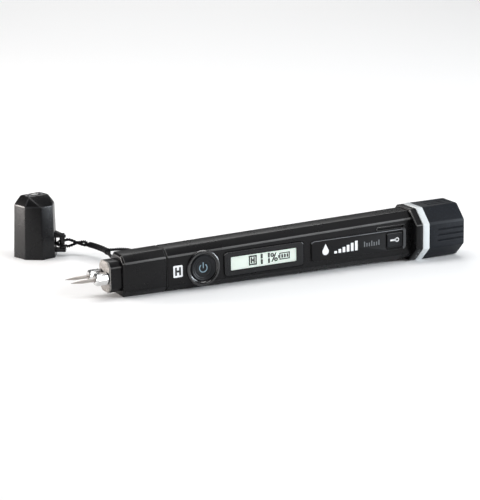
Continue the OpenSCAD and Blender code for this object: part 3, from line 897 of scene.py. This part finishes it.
class METER_OT_barrel(MeterOperator):
    """Barrel shell with its openings and the finger slot over the torch key"""

    bl_idname = "meter.barrel"
    bl_label = "Barrel"

    def execute(self, context):
        sizes = settings()[0]
        low, high = local_box("barrel", METER)
        front = low.y
        at_nose = local_section("barrel", METER, low.x, 0.05)
        heights = (at_nose[1].z - at_nose[0].z, high.z - low.z)
        shell = prism(low.x, high.x, high.y - low.y, heights, 3.3, sizes.body_edge, sizes.seam_edge, 0, 4)
        inner = prism(low.x - 1, high.x + 1, high.y - low.y - 2.6, [h - 2.6 for h in heights], 2.7)
        cuts = [inner]
        button_low, button_high = local_box("power_button", METER)
        bx, bz = (button_low.x + button_high.x) / 2, (button_low.z + button_high.z) / 2
        cuts.append(rod("Y", front - 2, front + 3, 7.05, (bx, bz)))
        b0, b1 = local_box("display_bezel", METER)
        cuts.append(pad((b0.x - 0.4, front - 1, b0.z - 0.4), (b1.x + 0.4, front + 0.5, b1.z + 0.4), 2.1))
        cuts.append(block((b0.x + 1.5, front - 1, b0.z + 1), (b1.x - 1.5, front + 3, b1.z - 1)))
        key = local_box("torch_button", METER)
        kx, kz = (key[0].x + key[1].x) / 2, (key[0].z + key[1].z) / 2
        cuts.append(block((kx - 5.2, front - 1, kz - 4.6), (kx + 5.2, front + 3, kz + 4.6)))
        panel_high = local_box("control_panel", METER)[1]
        slot_z = panel_high.z + 0.45
        slot_low, slot_high = (panel_high.x - 16.5, slot_z), (panel_high.x - 1.0, slot_z + 1.3)
        cuts.append(pad((slot_low[0], front - 1, slot_low[1]), (slot_high[0], front + 0.8, slot_high[1]),
                        0.6))
        lip = pad((slot_low[0] - 0.5, front - 0.3, slot_low[1] - 0.5),
                  (slot_high[0] + 0.5, front + 0.1, slot_high[1] + 0.5), 0.9, 0.28, 6, 4)
        lip = combine(lip, [pad((slot_low[0], front - 1, slot_low[1]),
                                (slot_high[0], front + 1, slot_high[1]), 0.6)])
        add_piece("slot_lip", lip, METER, MATERIALS["gloss"], "meter")
        add_piece("barrel_shell", combine(shell, cuts), METER, MATERIALS["body"], "meter",
                  ["barrel"], paint_highlight=True)
        return {"FINISHED"}


class METER_OT_power_button(MeterOperator):
    """Round power button in its raised collar"""

    bl_idname = "meter.power_button"
    bl_label = "Power button"

    def execute(self, context):
        front = front_face()
        low, high = local_box("power_button", METER)
        centre = ((low.x + high.x) / 2, (low.z + high.z) / 2)
        ring_low, ring_high = local_box("power_button_collar", METER)
        outer = (ring_high.x - ring_low.x) / 2
        top = ring_low.y
        collar = [(front + 2.6, outer), (top + 0.55, outer), (top + 0.2, outer - 0.15),
                  (top + 0.03, outer - 0.5),
                  (top, outer - 0.85), (top + 0.12, outer - 1.15), (top + 0.4, outer - 1.35),
                  (top + 0.45, outer - 1.6), (top + 0.6, outer - 1.85), (top + 0.9, outer - 1.9),
                  (front + 1.3, outer - 1.9), (front + 1.3, outer - 1.2), (front + 2.6, outer - 1.2)]
        add_piece("power_collar", turned("Y", collar, centre, 96, closed=True), METER, MATERIALS["gloss"],
                  "meter",
                  ["power_button_collar"])
        face = low.y
        button = [(face + 0.5, 0.0), (face + 0.5, 3.1), (face + 0.42, 3.35), (face + 0.42, 3.6),
                  (face + 0.5, 3.85),
                  (face + 0.42, 4.4), (face + 0.25, 4.65), (face + 0.2, 4.9), (face + 0.27, 5.15),
                  (face + 0.1, 5.45), (face, 5.75), (face + 0.06, 6.05), (face + 0.3, 6.3),
                  (face + 0.7, 6.42),
                  (high.y - 0.9, 6.42), (high.y - 0.9, 7.0), (high.y - 0.35, 7.0), (high.y - 0.35, 1.5),
                  (high.y, 1.5), (high.y, 0.0)]
        add_piece("power_key_cap", turned("Y", button, centre, 96), METER, MATERIALS["button"], "power_key",
                  ["power_button"])
        surface = face + 0.5
        icon = [arc(centre[0], centre[1], 1.72, 2.15, 38, 284, surface),
                bar(centre[0] - 0.22, centre[0] + 0.22, centre[1] - 0.1, centre[1] + 2.75, surface, 0.03,
                    0.2)]
        add_piece("power_icon", join(*icon), METER, MATERIALS["blue_ink"], "power_key")
        self.add_hold_mark(front)
        return {"FINISHED"}

    def add_hold_mark(self, front):
        cx, cz = 27.4, -0.55  # middle of the mark, between the seam and the power button
        add_piece("hold_patch", bar(cx - 2.4, cx + 2.4, cz - 2.85, cz + 2.85, front, 0.03, 0.5), METER,
                  MATERIALS["white_ink"], "meter")
        add_piece("hold_letter", join(*letter_h(cx, cz, 3.0, 3.9, 0.95, front - 0.03)), METER,
                  MATERIALS["dark_ink"], "meter")


class METER_OT_display(MeterOperator):
    """Display bezel, window and the reading on the liquid-crystal face"""

    bl_idname = "meter.display"
    bl_label = "Display"

    def execute(self, context):
        low, high = local_box("display_bezel", METER)
        win_low, win_high = local_box("display_window", METER)
        front = front_face()
        outer = pad(low, (high.x, front + 0.3, high.z), 1.8, 0.42, 8, 4)
        hole = pad((win_low.x - 0.05, low.y - 1, win_low.z - 0.05),
                   (win_high.x + 0.05, front + 2, win_high.z + 0.05),
                   0.35)
        slope = pad((win_low.x - 0.5, low.y - 1, win_low.z - 0.5),
                    (win_high.x + 0.5, low.y + 0.18, win_high.z + 0.5),
                    0.7)
        add_piece("bezel_frame", combine(outer, [hole, slope]), METER, MATERIALS["bezel"], "meter",
                  ["display_bezel"], paint_highlight=True)
        window = pad(win_low, win_high, 0.35, 0.08, 4, 2)
        add_piece("window_pane", window, METER, MATERIALS["window"], "meter",
                  ["display_window"])
        lcd_low, lcd_high = local_box("lcd_module", METER)
        add_piece("lcd_glass", pad(lcd_low, lcd_high, 0.1, 0.15, 2, 2), METER, MATERIALS["lcd"], "meter",
                  ["lcd_module"])
        self.add_reading(win_low.x, (win_low.z + win_high.z) / 2, lcd_low.y)
        return {"FINISHED"}

    def add_reading(self, left, cz, surface):
        marks = []
        box_x, box_w, box_h, line = left + 9.8, 4.3, 4.6, 0.75
        marks.append(bar(box_x, box_x + box_w, cz + box_h / 2 - line, cz + box_h / 2, surface))
        marks.append(bar(box_x, box_x + box_w, cz - box_h / 2, cz - box_h / 2 + line, surface))
        marks.append(bar(box_x, box_x + line, cz - box_h / 2, cz + box_h / 2, surface))
        marks.append(bar(box_x + box_w - line, box_x + box_w, cz - box_h / 2, cz + box_h / 2, surface))
        marks += letter_h(box_x + box_w / 2, cz, 2.2, 2.7, 0.85, surface)
        for x in (left + 16.1, left + 19.9):
            marks.append(bar(x, x + 1.15, cz + 0.15, cz + 2.45, surface, 0.03, 0.2))
            marks.append(bar(x, x + 1.15, cz - 2.45, cz - 0.15, surface, 0.03, 0.2))
        px = left + 21.6
        for dx, dz in ((0.7, 1.15), (2.65, -1.15)):
            marks.append(arc(px + dx, cz + dz, 0.3, 1.0, 0, 360, surface, 0.03, 20))
        marks.append(plate([(px + 0.1, cz - 2.1), (px + 0.9, cz - 2.1), (px + 3.15, cz + 2.1),
                            (px + 2.35, cz + 2.1)],
                           surface))
        bx, wall, half = left + 25.4, 0.55, 1.7
        marks.append(bar(bx, bx + 0.7, cz - 0.7, cz + 0.7, surface))
        for z in (cz - half, cz + half - wall):
            marks.append(bar(bx + 0.7, bx + 6.4, z, z + wall, surface))
        for x in (bx + 0.7, bx + 6.4 - wall):
            marks.append(bar(x, x + wall, cz - half, cz + half, surface))
        for step in range(3):
            x = bx + 1.7 + step * 1.45
            marks.append(bar(x, x + 1.0, cz - 0.85, cz + 0.85, surface))
        add_piece("lcd_segments", join(*marks), METER, MATERIALS["segment"], "meter")


class METER_OT_panel(MeterOperator):
    """Raised control panel with its marks, and the torch key"""

    bl_idname = "meter.panel"
    bl_label = "Control panel"

    def execute(self, context):
        front = front_face()
        low, high = local_box("control_panel", METER)
        key_low, key_high = local_box("torch_button", METER)
        kx, kz = (key_low.x + key_high.x) / 2, (key_low.z + key_high.z) / 2
        base = pad(low, (high.x, front + 0.4, high.z), 1.6, 0.42, 8, 4)
        proud, run = front - low.y, 2.2
        ramp = block((0, -4, low.z - 1), (6, 0, high.z + 1))
        slope = Matrix.Rotation(-math.atan2(proud, run), 3, "Z")
        bmesh.ops.rotate(ramp, matrix=slope.inverted(), verts=ramp.verts)
        bmesh.ops.translate(ramp, vec=(high.x - run, low.y, 0), verts=ramp.verts)
        recess = pad((kx - 5.15, low.y - 1, kz - 4.5), (kx + 5.15, low.y + 0.55, kz + 4.5), 1.1)
        opening = pad((kx - 4.45, low.y - 1, kz - 3.85), (kx + 4.45, front + 2, kz + 3.85), 0.9)
        panel = combine(base, [recess, opening, ramp])
        rim = edges_where(panel, lambda a, b: all(
            abs(v.co.y - low.y) < 1e-3 and abs(v.co.x - kx) < 5.2 and abs(v.co.z - kz) < 4.6 for v in (a, b)))
        round_edges(panel, rim, 0.28, 2)
        panel.normal_update()
        # Painted highlight on the sloped right end of the panel, where the light catches it.
        layer = panel.faces.layers.float.new("painted_edge_highlight")
        for face in panel.faces:
            if face.normal.x > 0.25 and face.normal.y < -0.5 and face.calc_center_median().x > high.x - run:
                face[layer] = 1.0
        add_piece("panel_plate", panel, METER, MATERIALS["panel"], "meter",
                  ["control_panel"],
                  paint_highlight=True)
        self.add_key(kx, kz, key_low, key_high, front)
        self.add_marks(low, kz)
        return {"FINISHED"}

    def add_key(self, kx, kz, low, high, front):
        cap = pad((kx - 4.2, low.y, kz - 3.6), (kx + 4.2, front + 0.05, kz + 3.6), 0.9, 0.3, 6, 3)
        dish = pad((kx - 3.5, low.y - 1, kz - 2.9), (kx + 3.5, low.y + 0.12, kz + 2.9), 0.6)
        flange = block((low.x, front + 0.05, low.z), (high.x, front + 0.35, high.z))
        stem = rod("Y", front + 0.3, high.y, 1.5, (kx, kz), 32)
        key = join(combine(cap, [dish]), flange, stem)
        add_piece("torch_key_cap", key, METER, MATERIALS["button"], "torch_key",
                  ["torch_button"],
                  paint_highlight=True)
        surface = low.y + 0.12
        barrel = bar(kx - 2.5, kx + 0.1, kz - 0.42, kz + 0.42, surface, 0.03, 0.38)
        neck = plate([(kx - 0.1, kz - 0.42), (kx + 0.9, kz - 0.95), (kx + 0.9, kz + 0.95),
                      (kx - 0.1, kz + 0.42)],
                     surface)
        glow = arc(kx + 1.45, kz, 0.62, 1.12, 0, 360, surface)
        add_piece("torch_icon", join(barrel, neck, glow), METER, MATERIALS["white_ink"], "torch_key")

    def add_marks(self, low, cz):
        surface = low.y
        drop = [(0.0, 3.1)]
        drop += [(1.75 * math.sin(math.radians(a)), -0.7 + 1.75 * math.cos(math.radians(a)))
                 for a in range(55, 306, 10)]
        cx = low.x + 7.6
        outline = [(cx + x, cz + z) for x, z in drop]
        add_piece("drop_mark", plate(outline, surface), METER, MATERIALS["white_ink"], "meter")
        bars = []
        for step in range(6):
            x = low.x + 12.4 + step * 2.3
            bars.append(bar(x, x + 1.5, cz - 2.4, cz - 1.2 + step * 0.72, surface, 0.03, 0.15))
        add_piece("scale_mark", join(*bars), METER, MATERIALS["white_ink"], "meter")
        ticks = []
        for step in range(7):
            x = low.x + 29.0 + step * 1.35
            ticks.append(bar(x, x + 0.55, cz - 1.3, cz + (1.3 if step % 3 == 0 else 0.5), surface))
        add_piece("tick_mark", join(*ticks), METER, MATERIALS["grey_ink"], "meter")


class METER_OT_tail(MeterOperator):
    """Rear collar with its spigot, and the trim ring"""

    bl_idname = "meter.tail"
    bl_label = "Collar and ring"

    def execute(self, context):
        sizes = settings()[0]
        ring_low, ring_high = local_box("trim_ring", METER)
        low, high = local_box("rear_collar", METER)
        across = high.y - low.y
        flange = prism(low.x, ring_low.x - 0.05, across, (across, across), 6.9, 0.35, 0.55, 0.12)
        spigot_r = 8.5
        thread_starts = (162.2, 163.4, 164.6)
        spigot = rod("X", ring_low.x - 1, high.x, spigot_r)
        groove = combine(rod("X", 166.4, 167.5, spigot_r + 1), [rod("X", 166, 168, spigot_r - 0.5)])
        threads = [combine(rod("X", x, x + 0.5, spigot_r + 1), [rod("X", x - 1, x + 1.5, spigot_r - 0.25)])
                   for x in thread_starts]
        barrel_low, barrel_high = local_box("barrel", METER)
        pocket = prism(low.x - 1, barrel_high.x + 0.05, barrel_high.y - barrel_low.y + 0.1,
                       (barrel_high.z - barrel_low.z + 0.1,) * 2, 3.3)
        bore = rod("X", low.x - 1, high.x + 1, 5.95)
        collar = combine(flange, [pocket, bore, groove, *threads], [spigot])
        add_piece("tail_collar", collar, METER, MATERIALS["body"], "meter", ["rear_collar"],
                  paint_highlight=True)
        ring = prism(ring_low.x, ring_high.x, ring_high.y - ring_low.y, (ring_high.z - ring_low.z,) * 2, 7.0,
                     0.35, sizes.ring_edge, sizes.ring_edge)
        ring = combine(ring, [rod("X", ring_low.x - 1, ring_high.x + 1, 8.58)])
        add_piece("pearl_ring", ring, METER, MATERIALS["ring"], "ring", ["trim_ring"])
        return {"FINISHED"}


class METER_OT_head(MeterOperator):
    """Ribbed torch head, with its lens and bezel"""

    bl_idname = "meter.head"
    bl_label = "Torch head"

    def execute(self, context):
        sizes = settings()[0]
        low, high = local_box("head_grip", METER)
        across = high.y - low.y
        grip = prism(low.x, high.x, across, (across, across), 7.0, sizes.grip_edge, 0.35, 1.3, 4)
        cuts = [prism(low.x - 1, high.x + 1, 22.7, (22.7, 22.7), 6.0)]
        for quarter in range(4):
            for z in (-2.7, 0.0, 2.7):
                groove = pad((low.x + 4.6, -across, z - 0.45), (high.x + 6, 0.85 - across / 2, z + 0.45),
                             0.42, 0, 4)
                turn = Matrix.Rotation(math.radians(90 * quarter), 3, "X")
                bmesh.ops.rotate(groove, matrix=turn, verts=groove.verts)
                cuts.append(groove)
        add_piece("head_sleeve", combine(grip, cuts), METER, MATERIALS["grip"], "head",
                  ["head_grip"], paint_highlight=True)
        lens_low, lens_high = local_box("lens", METER)
        r = (lens_high.y - lens_low.y) / 2
        lens = [(lens_low.x, 0), (lens_low.x, r), (lens_high.x - 0.45, r), (lens_high.x - 0.4, r - 1.4),
                (lens_high.x - 0.15, r - 3.5), (lens_high.x - 0.03, r - 6), (lens_high.x, 0)]
        add_piece("torch_lens", turned("X", lens), METER, MATERIALS["lens"], "head", ["lens"])
        bezel_low, bezel_high = local_box("lens_bezel", METER)
        x0, x1 = bezel_low.x, bezel_high.x
        bezel = [(x0, 8.9), (x1 - 0.2, 8.9), (x1, 8.7), (x1, 8.2), (x1 - 0.25, 7.9), (x0 + 0.5, 7.4),
                 (x0, 7.4)]
        add_piece("lens_ring", turned("X", bezel, closed=True), METER, MATERIALS["panel"], "head",
                  ["lens_bezel"])
        return {"FINISHED"}


class METER_OT_needles(MeterOperator):
    """Ground steel needles and their chromed hexagonal nuts"""

    bl_idname = "meter.needles"
    bl_label = "Needles"

    def execute(self, context):
        for side in ("near", "far"):
            self.add_needle(side)
            self.add_nut(side)
        return {"FINISHED"}

    def add_needle(self, side):
        low, high = local_box(f"{side}_needle", METER)
        cy = (low.y + high.y) / 2
        r = (high.y - low.y) / 2
        tip = low.x
        profile = [(tip, 0), (tip + 0.08, 0.1), (tip + 1.6, 0.36), (tip + 3.4, 0.58), (tip + 5.0, r - 0.03),
                   (tip + 5.4, r), (high.x - 0.2, r), (high.x, r - 0.2), (high.x, 0)]
        add_piece(f"{side}_probe", turned("X", profile, (cy, 0), 48), METER, MATERIALS["steel"],
                  f"{side}_probe",
                  [f"{side}_needle"])

    def add_nut(self, side):
        low, high = local_box(f"{side}_pin_nut", METER)
        low, high = low - Vector((0.65, 0, 0)), high - Vector((0.65, 0, 0))
        cy = (low.y + high.y) / 2
        corner = (high.z - low.z) / 2
        flat = corner * math.sqrt(3) / 2
        body = rod("X", low.x, high.x, corner, (cy, 0), 6)
        round_edges(body, edges_where(body, lambda a, b: abs(a.co.x - b.co.x) > 0.1), 0.1, 2)
        keep = turned("X", [(low.x, 0), (low.x, flat - 0.35), (low.x + 1.0, corner + 0.05),
                            (high.x - 0.25, corner + 0.05), (high.x, flat - 0.05), (high.x, 0)], (cy, 0), 96)
        socket = rod("X", -9.3, high.x + 1, 1.48, (cy, 0))
        hole = rod("X", low.x - 1, high.x + 1, 0.88, (cy, 0))
        mouth = rod("X", low.x - 0.3, low.x + 0.35, 1.5, (cy, 0), 48, 0.88)
        add_piece(f"{side}_hex", combine(body, [socket, hole, mouth], within=[keep]), METER,
                  MATERIALS["chrome"], f"{side}_nut",
                  [f"{side}_pin_nut"], 20)


class METER_OT_cap(MeterOperator):
    """Protective cap with its tether lug and check sockets"""

    bl_idname = "meter.cap"
    bl_label = "Cap"

    def execute(self, context):
        sizes = settings()[0]
        shell = bmesh.new()
        height = local_box("check_plate", CAP)[0].z
        for scale, z in ((1.08, 0.0), (1.0, 26.5)):
            for _, a, b in octagon_points(0, 18.4 * scale, 20 * scale, 5.6 * scale):
                shell.verts.new((a, b, z))
        for sx in (-1, 1):
            for sy in (-1, 1):
                shell.verts.new((sx * 5.9, sy * 3.35, height))
        bmesh.ops.convex_hull(shell, input=shell.verts)
        bmesh.ops.dissolve_limit(shell, angle_limit=math.radians(1.0), verts=shell.verts, edges=shell.edges)
        above = edges_where(shell, lambda a, b: max(a.co.z, b.co.z) > 1)
        round_edges(shell, above, sizes.cap_edge, 4)
        post = self.post_radius()
        lug_turn = Matrix.Rotation(math.radians(-45), 3, "Z")
        adds, cuts = [], []
        lug = self.lug_shape(post)
        bmesh.ops.rotate(lug, matrix=lug_turn, verts=lug.verts)
        adds.append(lug)
        room = self.well(15.6, 17.4, 3.4, -1, 7.6)
        well = self.well(14.8, 16.4, 4.4, 7, 26)
        for side in (-1, 1):
            cuts.append(rod("Z", 20, 40, 1.5, (side * 3.6, 0), 40))
        window = self.lug_window(post)
        bmesh.ops.rotate(window, matrix=lug_turn, verts=window.verts)
        cuts += [room, well, window]
        pin = rod("Z", 3.0, 11.2, 1.3, (post, 0), 40)
        bmesh.ops.rotate(pin, matrix=lug_turn, verts=pin.verts)
        body = combine(combine(shell, cuts, adds), [], [pin])
        add_piece("cap_body", body, CAP, MATERIALS["cap"], "cap", ["cap_shell"], paint_highlight=True)
        self.add_sockets(height)
        return {"FINISHED"}

    def post_radius(self):
        post = CAP.inverted() @ Vector(JOINTS["cap_turn"]["pos_m"])
        return math.hypot(post.x, post.y)

    def well(self, w, h, leg, z0, z1):
        bm = prism(z0, z1, w, (h, h), leg)
        bmesh.ops.rotate(bm, matrix=Matrix.Rotation(math.radians(-90), 3, "Y"), verts=bm.verts)
        bmesh.ops.rotate(bm, matrix=Matrix.Rotation(math.radians(180), 3, "Z"), verts=bm.verts)
        return bm

    def lug_shape(self, post):
        """An upright plate whose top slopes down away from the cap."""
        bm = bmesh.new()
        outline = [(8.4, 2.0), (post + 1.9, 2.0), (post + 1.9, 9.8), (post + 1.3, 10.4), (9.4, 12.8),
                   (8.4, 12.8)]
        face = start_ring(bm, [(x, -1.9, z) for x, z in outline])
        new = bmesh.ops.extrude_face_region(bm, geom=[face])["geom"]
        verts = [g for g in new if isinstance(g, bmesh.types.BMVert)]
        bmesh.ops.translate(bm, vec=(0, 3.8, 0), verts=verts)
        bmesh.ops.recalc_face_normals(bm, faces=bm.faces)
        round_edges(bm, list(bm.edges), 0.35, 3)
        return bm

    def lug_window(self, post):
        return block((9.0, -3, 3.8), (post + 4, 3, 9.4))

    def add_sockets(self, height):
        rings = []
        for side in (-1, 1):
            profile = [(27.6, 0), (27.6, 0.9), (height + 0.05, 0.9), (height + 0.2, 1.05),
                       (height + 0.25, 1.25),
                       (height + 0.2, 1.55), (height, 1.65), (height, 1.45), (26.6, 1.45), (26.6, 0)]
            ring = turned("X", profile, (0, 0), 48)
            bmesh.ops.rotate(ring, matrix=Matrix.Rotation(math.radians(-90), 3, "Y"), verts=ring.verts)
            bmesh.ops.translate(ring, vec=(side * 3.6, 0, 0), verts=ring.verts)
            rings.append(ring)
        add_piece("socket_rings", join(*rings), CAP, MATERIALS["rim"], "cap", ["check_sockets"])


# The tether's centre line from the meter's post to the cap's post, and the second strand of its loop
ROUTE = [(-0.0695, -0.03, 0.0102), (-0.0694, -0.027, 0.0102), (-0.069, -0.023, 0.01),
         (-0.0682, -0.018, 0.0096),
         (-0.067, -0.012, 0.0091), (-0.0656, -0.006, 0.0086), (-0.064, 0.0, 0.0082), (-0.0626, 0.005, 0.0079),
         (-0.0616, 0.01, 0.0076), (-0.0611, 0.015, 0.0072), (-0.061, 0.02, 0.0068), (-0.0612, 0.025, 0.0065),
         (-0.062, 0.0295, 0.0063), (-0.0636, 0.0332, 0.0064), (-0.066, 0.036, 0.0064),
         (-0.0686, 0.0377, 0.0062),
         (-0.0706, 0.0384, 0.0061)]
STRAND_ROUTE = [(-0.0616, 0.009, 0.0082), (-0.0598, 0.006, 0.0087), (-0.0572, 0.001, 0.0098),
                (-0.0558, -0.005, 0.0106), (-0.056, -0.012, 0.0112), (-0.0576, -0.019, 0.0114),
                (-0.0606, -0.025, 0.011), (-0.064, -0.0294, 0.0106), (-0.0674, -0.0316, 0.0102)]
WHIPPING_START, WHIPPING_END = 8, 12


def smooth_line(points, step):
    """Points close together on one smooth curve through the given ones."""
    points = [Vector(p) for p in points]
    fine = []
    for i in range(len(points) - 1):
        before, after = points[max(i - 1, 0)], points[min(i + 2, len(points) - 1)]
        a, b = points[i], points[i + 1]
        count = max(2, round((b - a).length / step))
        for k in range(count):
            t = k / count
            fine.append(0.5 * (2 * a + (b - before) * t + (2 * before - 5 * a + 4 * b - after) * t * t
                               + (3 * a - before - 3 * b + after) * t ** 3))
    return fine + [points[-1]]


def line_frames(line):
    """For each point: how far along it is, and the sideways and upward directions there."""
    frames, run = [], 0.0
    for i, point in enumerate(line):
        ahead = (line[min(i + 1, len(line) - 1)] - line[max(i - 1, 0)]).normalized()
        side = ahead.cross(Vector((0, 0, 1))).normalized()
        frames.append((run, side, side.cross(ahead)))
        if i + 1 < len(line):
            run += (line[i + 1] - point).length
    return frames


def helix(line, radius, pitch, phase=0.0):
    """A line wound round another; radius may be a function of the distance left to the end."""
    frames = line_frames(line)
    total = frames[-1][0]
    wound = []
    for point, (run, side, up) in zip(line, frames):
        left = total - run
        r = radius(left) if callable(radius) else radius
        angle = phase + math.tau * left / pitch
        wound.append(point + r * (math.cos(angle) * side + math.sin(angle) * up))
    return wound


def yarn_mesh(name, lines, thickness, sides=1):
    """Thin round yarns along lines, as one mesh in metres."""
    curve = bpy.data.curves.new(name, "CURVE")
    curve.dimensions = "3D"
    curve.bevel_depth = thickness / 2
    curve.bevel_resolution = sides
    curve.use_fill_caps = True
    for line in lines:
        spline = curve.splines.new("POLY")
        spline.points.add(len(line) - 1)
        spline.points.foreach_set("co", [c for p in line for c in (*p, 1.0)])
    holder = bpy.data.objects.new(name, curve)
    bpy.context.scene.collection.objects.link(holder)
    bpy.context.view_layer.update()
    bm = bmesh.new()
    shown = holder.evaluated_get(bpy.context.evaluated_depsgraph_get())
    bm.from_mesh(shown.to_mesh())
    shown.to_mesh_clear()
    bpy.data.objects.remove(holder)
    bpy.data.curves.remove(curve)
    bmesh.ops.recalc_face_normals(bm, faces=bm.faces)
    return bm


def strand(line, sizes, phase=0.0):
    """The two yarns of one laid strand."""
    return [helix(line, 0.0004, sizes.ply_pitch * MM, phase + k * math.pi) for k in range(2)]


class METER_OT_tether(MeterOperator):
    """Twisted tether: a loop round the meter's post, a whipped middle and a twisted pair to the cap"""

    bl_idname = "meter.tether"
    bl_label = "Tether"

    def execute(self, context):
        sizes = settings()[0]
        meter_post = Vector(JOINTS["tether_swing"]["pos_m"])
        cap_post = Vector(JOINTS["cap_turn"]["pos_m"])
        yarn_width = 0.00084
        fine = 0.00022
        hold = 0.0022  # radius of the loops round the posts
        rise = 0.0007  # the cap loop's far leg leaves the post this much above its middle, the near leg below
        # from the twisted pair's middle to a strand, free and inside the whipping
        apart, tight = 0.0008, 0.0004

        near_post = meter_post + Vector((-hold, 0.0012, 0))
        open_leg = smooth_line([near_post, *[Vector(p) for p in ROUTE[2:WHIPPING_START + 1]]], fine)
        ahead = (cap_post - Vector(ROUTE[-2])).normalized()
        side = ahead.cross(Vector((0, 0, 1))).normalized()
        short_of_post = cap_post - ahead * 0.0012
        trunk = smooth_line([*ROUTE[WHIPPING_START:-1], short_of_post], fine)
        flare, tilt = math.hypot(hold, rise) - apart, math.atan2(rise, hold)

        def spread(left):
            gather = min(1.0, max(0.0, (left - 0.0115) / 0.003))
            return apart - (apart - tight) * gather + flare * max(0.0, 1 - left / 0.007) ** 1.5

        pair = [helix(trunk, spread, sizes.twist_pitch * MM, tilt + k * math.pi) for k in range(2)]
        lines = strand(open_leg, sizes)
        for k in range(2):
            lines += strand(pair[k], sizes, k * 1.0)
        cord = add_piece("tether_cord_laid", yarn_mesh("cord", lines, yarn_width), Matrix(),
                         MATERIALS["yarn"],
                         "tether", ["tether_cord"], 80)
        back_leg = smooth_line([*STRAND_ROUTE[:-1], meter_post + Vector((hold, 0, 0))], fine)
        second = add_piece("tether_second_strand", yarn_mesh("strand", strand(back_leg, sizes, 1.0),
                                                             yarn_width),
                           Matrix(), MATERIALS["yarn"], "tether", ["tether_strand"], 80)
        cap_arc = self.half_turn(cap_post, side, ahead, hold, rise)
        lift = Vector((0, 0, rise))
        cap_arc = [short_of_post + side * hold + lift, *cap_arc, short_of_post - side * hold - lift]
        meter_arc = self.half_turn(meter_post, Vector((1, 0, 0)), Vector((0, -1, 0)), hold) + [near_post]
        for name, line, node in (("cap_loop_laid", cap_arc, "cap_loop"),
                                 ("meter_loop_laid", meter_arc, "meter_loop")):
            add_piece(name, yarn_mesh(name, strand(line, sizes), yarn_width), Matrix(),
                                   MATERIALS["yarn"], "tether", [node], 80)
        core = smooth_line(ROUTE[WHIPPING_START - 1:WHIPPING_END + 1], 0.00009)
        wound = 0.00115
        threads = [helix(core, wound, sizes.whipping_pitch * MM, k * math.pi) for k in range(2)]
        whip = yarn_mesh("whipping", threads, 0.0007)
        whipping = add_piece("tether_whipping_wound", whip, Matrix(), MATERIALS["yarn"], "tether",
                             ["tether_whipping"], 80)
        return {"FINISHED"}

    def half_turn(self, centre, start, ahead, radius, rise=0.0, steps=48):
        """Half a circle round a post, from one side past the far side to the other, and down from rise."""
        line = []
        for k in range(steps + 1):
            angle = math.pi * k / steps
            lift = Vector((0, 0, rise * math.cos(angle)))
            line.append(centre + radius * (math.cos(angle) * start + math.sin(angle) * ahead) + lift)
        return line


class METER_OT_inside(MeterOperator):
    """Finishes for the carried-over parts inside the meter"""

    bl_idname = "meter.inside"
    bl_label = "Inside parts"

    def execute(self, context):
        finishes = {
            "pin_block": "insulator", "near_pin_stud": "brass", "far_pin_stud": "brass",
            "sensor_leads": "wire",
            "nose_seal": "seal", "tether_pin": "steel", "power_switch": "brass",
            "elastomer_connector": "seal",
            "circuit_board": "board", "microcontroller": "chip", "torch_switch": "brass",
            "switch_flex": "film",
            "battery": "sleeve", "battery_contact": "chrome", "head_seal": "seal", "head_core": "chip",
            "battery_spring": "chrome", "led_board": "white", "led_emitter": "phosphor",
            "reflector": "mirror",
            "cap_seal": "seal", "check_resistor": "resistor", "check_plate": "label",
        }
        for node, finish in finishes.items():
            obj = frame["nodes"][node]
            if not obj.material_slots:
                obj.data.materials.append(MATERIALS[finish])
            for slot in obj.material_slots:
                slot.material = MATERIALS[finish]
        return {"FINISHED"}


STEPS = ("stage", "tether", "nose", "barrel", "power_button", "display", "panel", "tail", "head", "needles",
         "cap",
         "inside")


class METER_PT_panel(bpy.types.Panel):
    """Lists the building steps in the sidebar"""

    bl_idname = "METER_PT_panel"
    bl_label = "Moisture meter"
    bl_space_type = "VIEW_3D"
    bl_region_type = "UI"
    bl_category = "Meter"

    def draw(self, context):
        for step in STEPS:
            self.layout.operator(f"meter.{step}")


CLASSES = (MeterSizes, MeterColours, MeterView, METER_OT_stage, METER_OT_tether, METER_OT_nose,
           METER_OT_barrel,
           METER_OT_power_button, METER_OT_display, METER_OT_panel, METER_OT_tail, METER_OT_head,
           METER_OT_needles,
           METER_OT_cap, METER_OT_inside, METER_PT_panel)


def register():
    for cls in CLASSES:
        bpy.utils.register_class(cls)
    bpy.types.Scene.meter_sizes = PointerProperty(type=MeterSizes)
    bpy.types.Scene.meter_colours = PointerProperty(type=MeterColours)
    bpy.types.Scene.meter_view = PointerProperty(type=MeterView)


def unregister():
    del bpy.types.Scene.meter_view
    del bpy.types.Scene.meter_colours
    del bpy.types.Scene.meter_sizes
    for cls in reversed(CLASSES):
        bpy.utils.unregister_class(cls)


def main():
    register()
    for step in STEPS:
        getattr(bpy.ops.meter, step)()


if __name__ == "__main__":
    main()
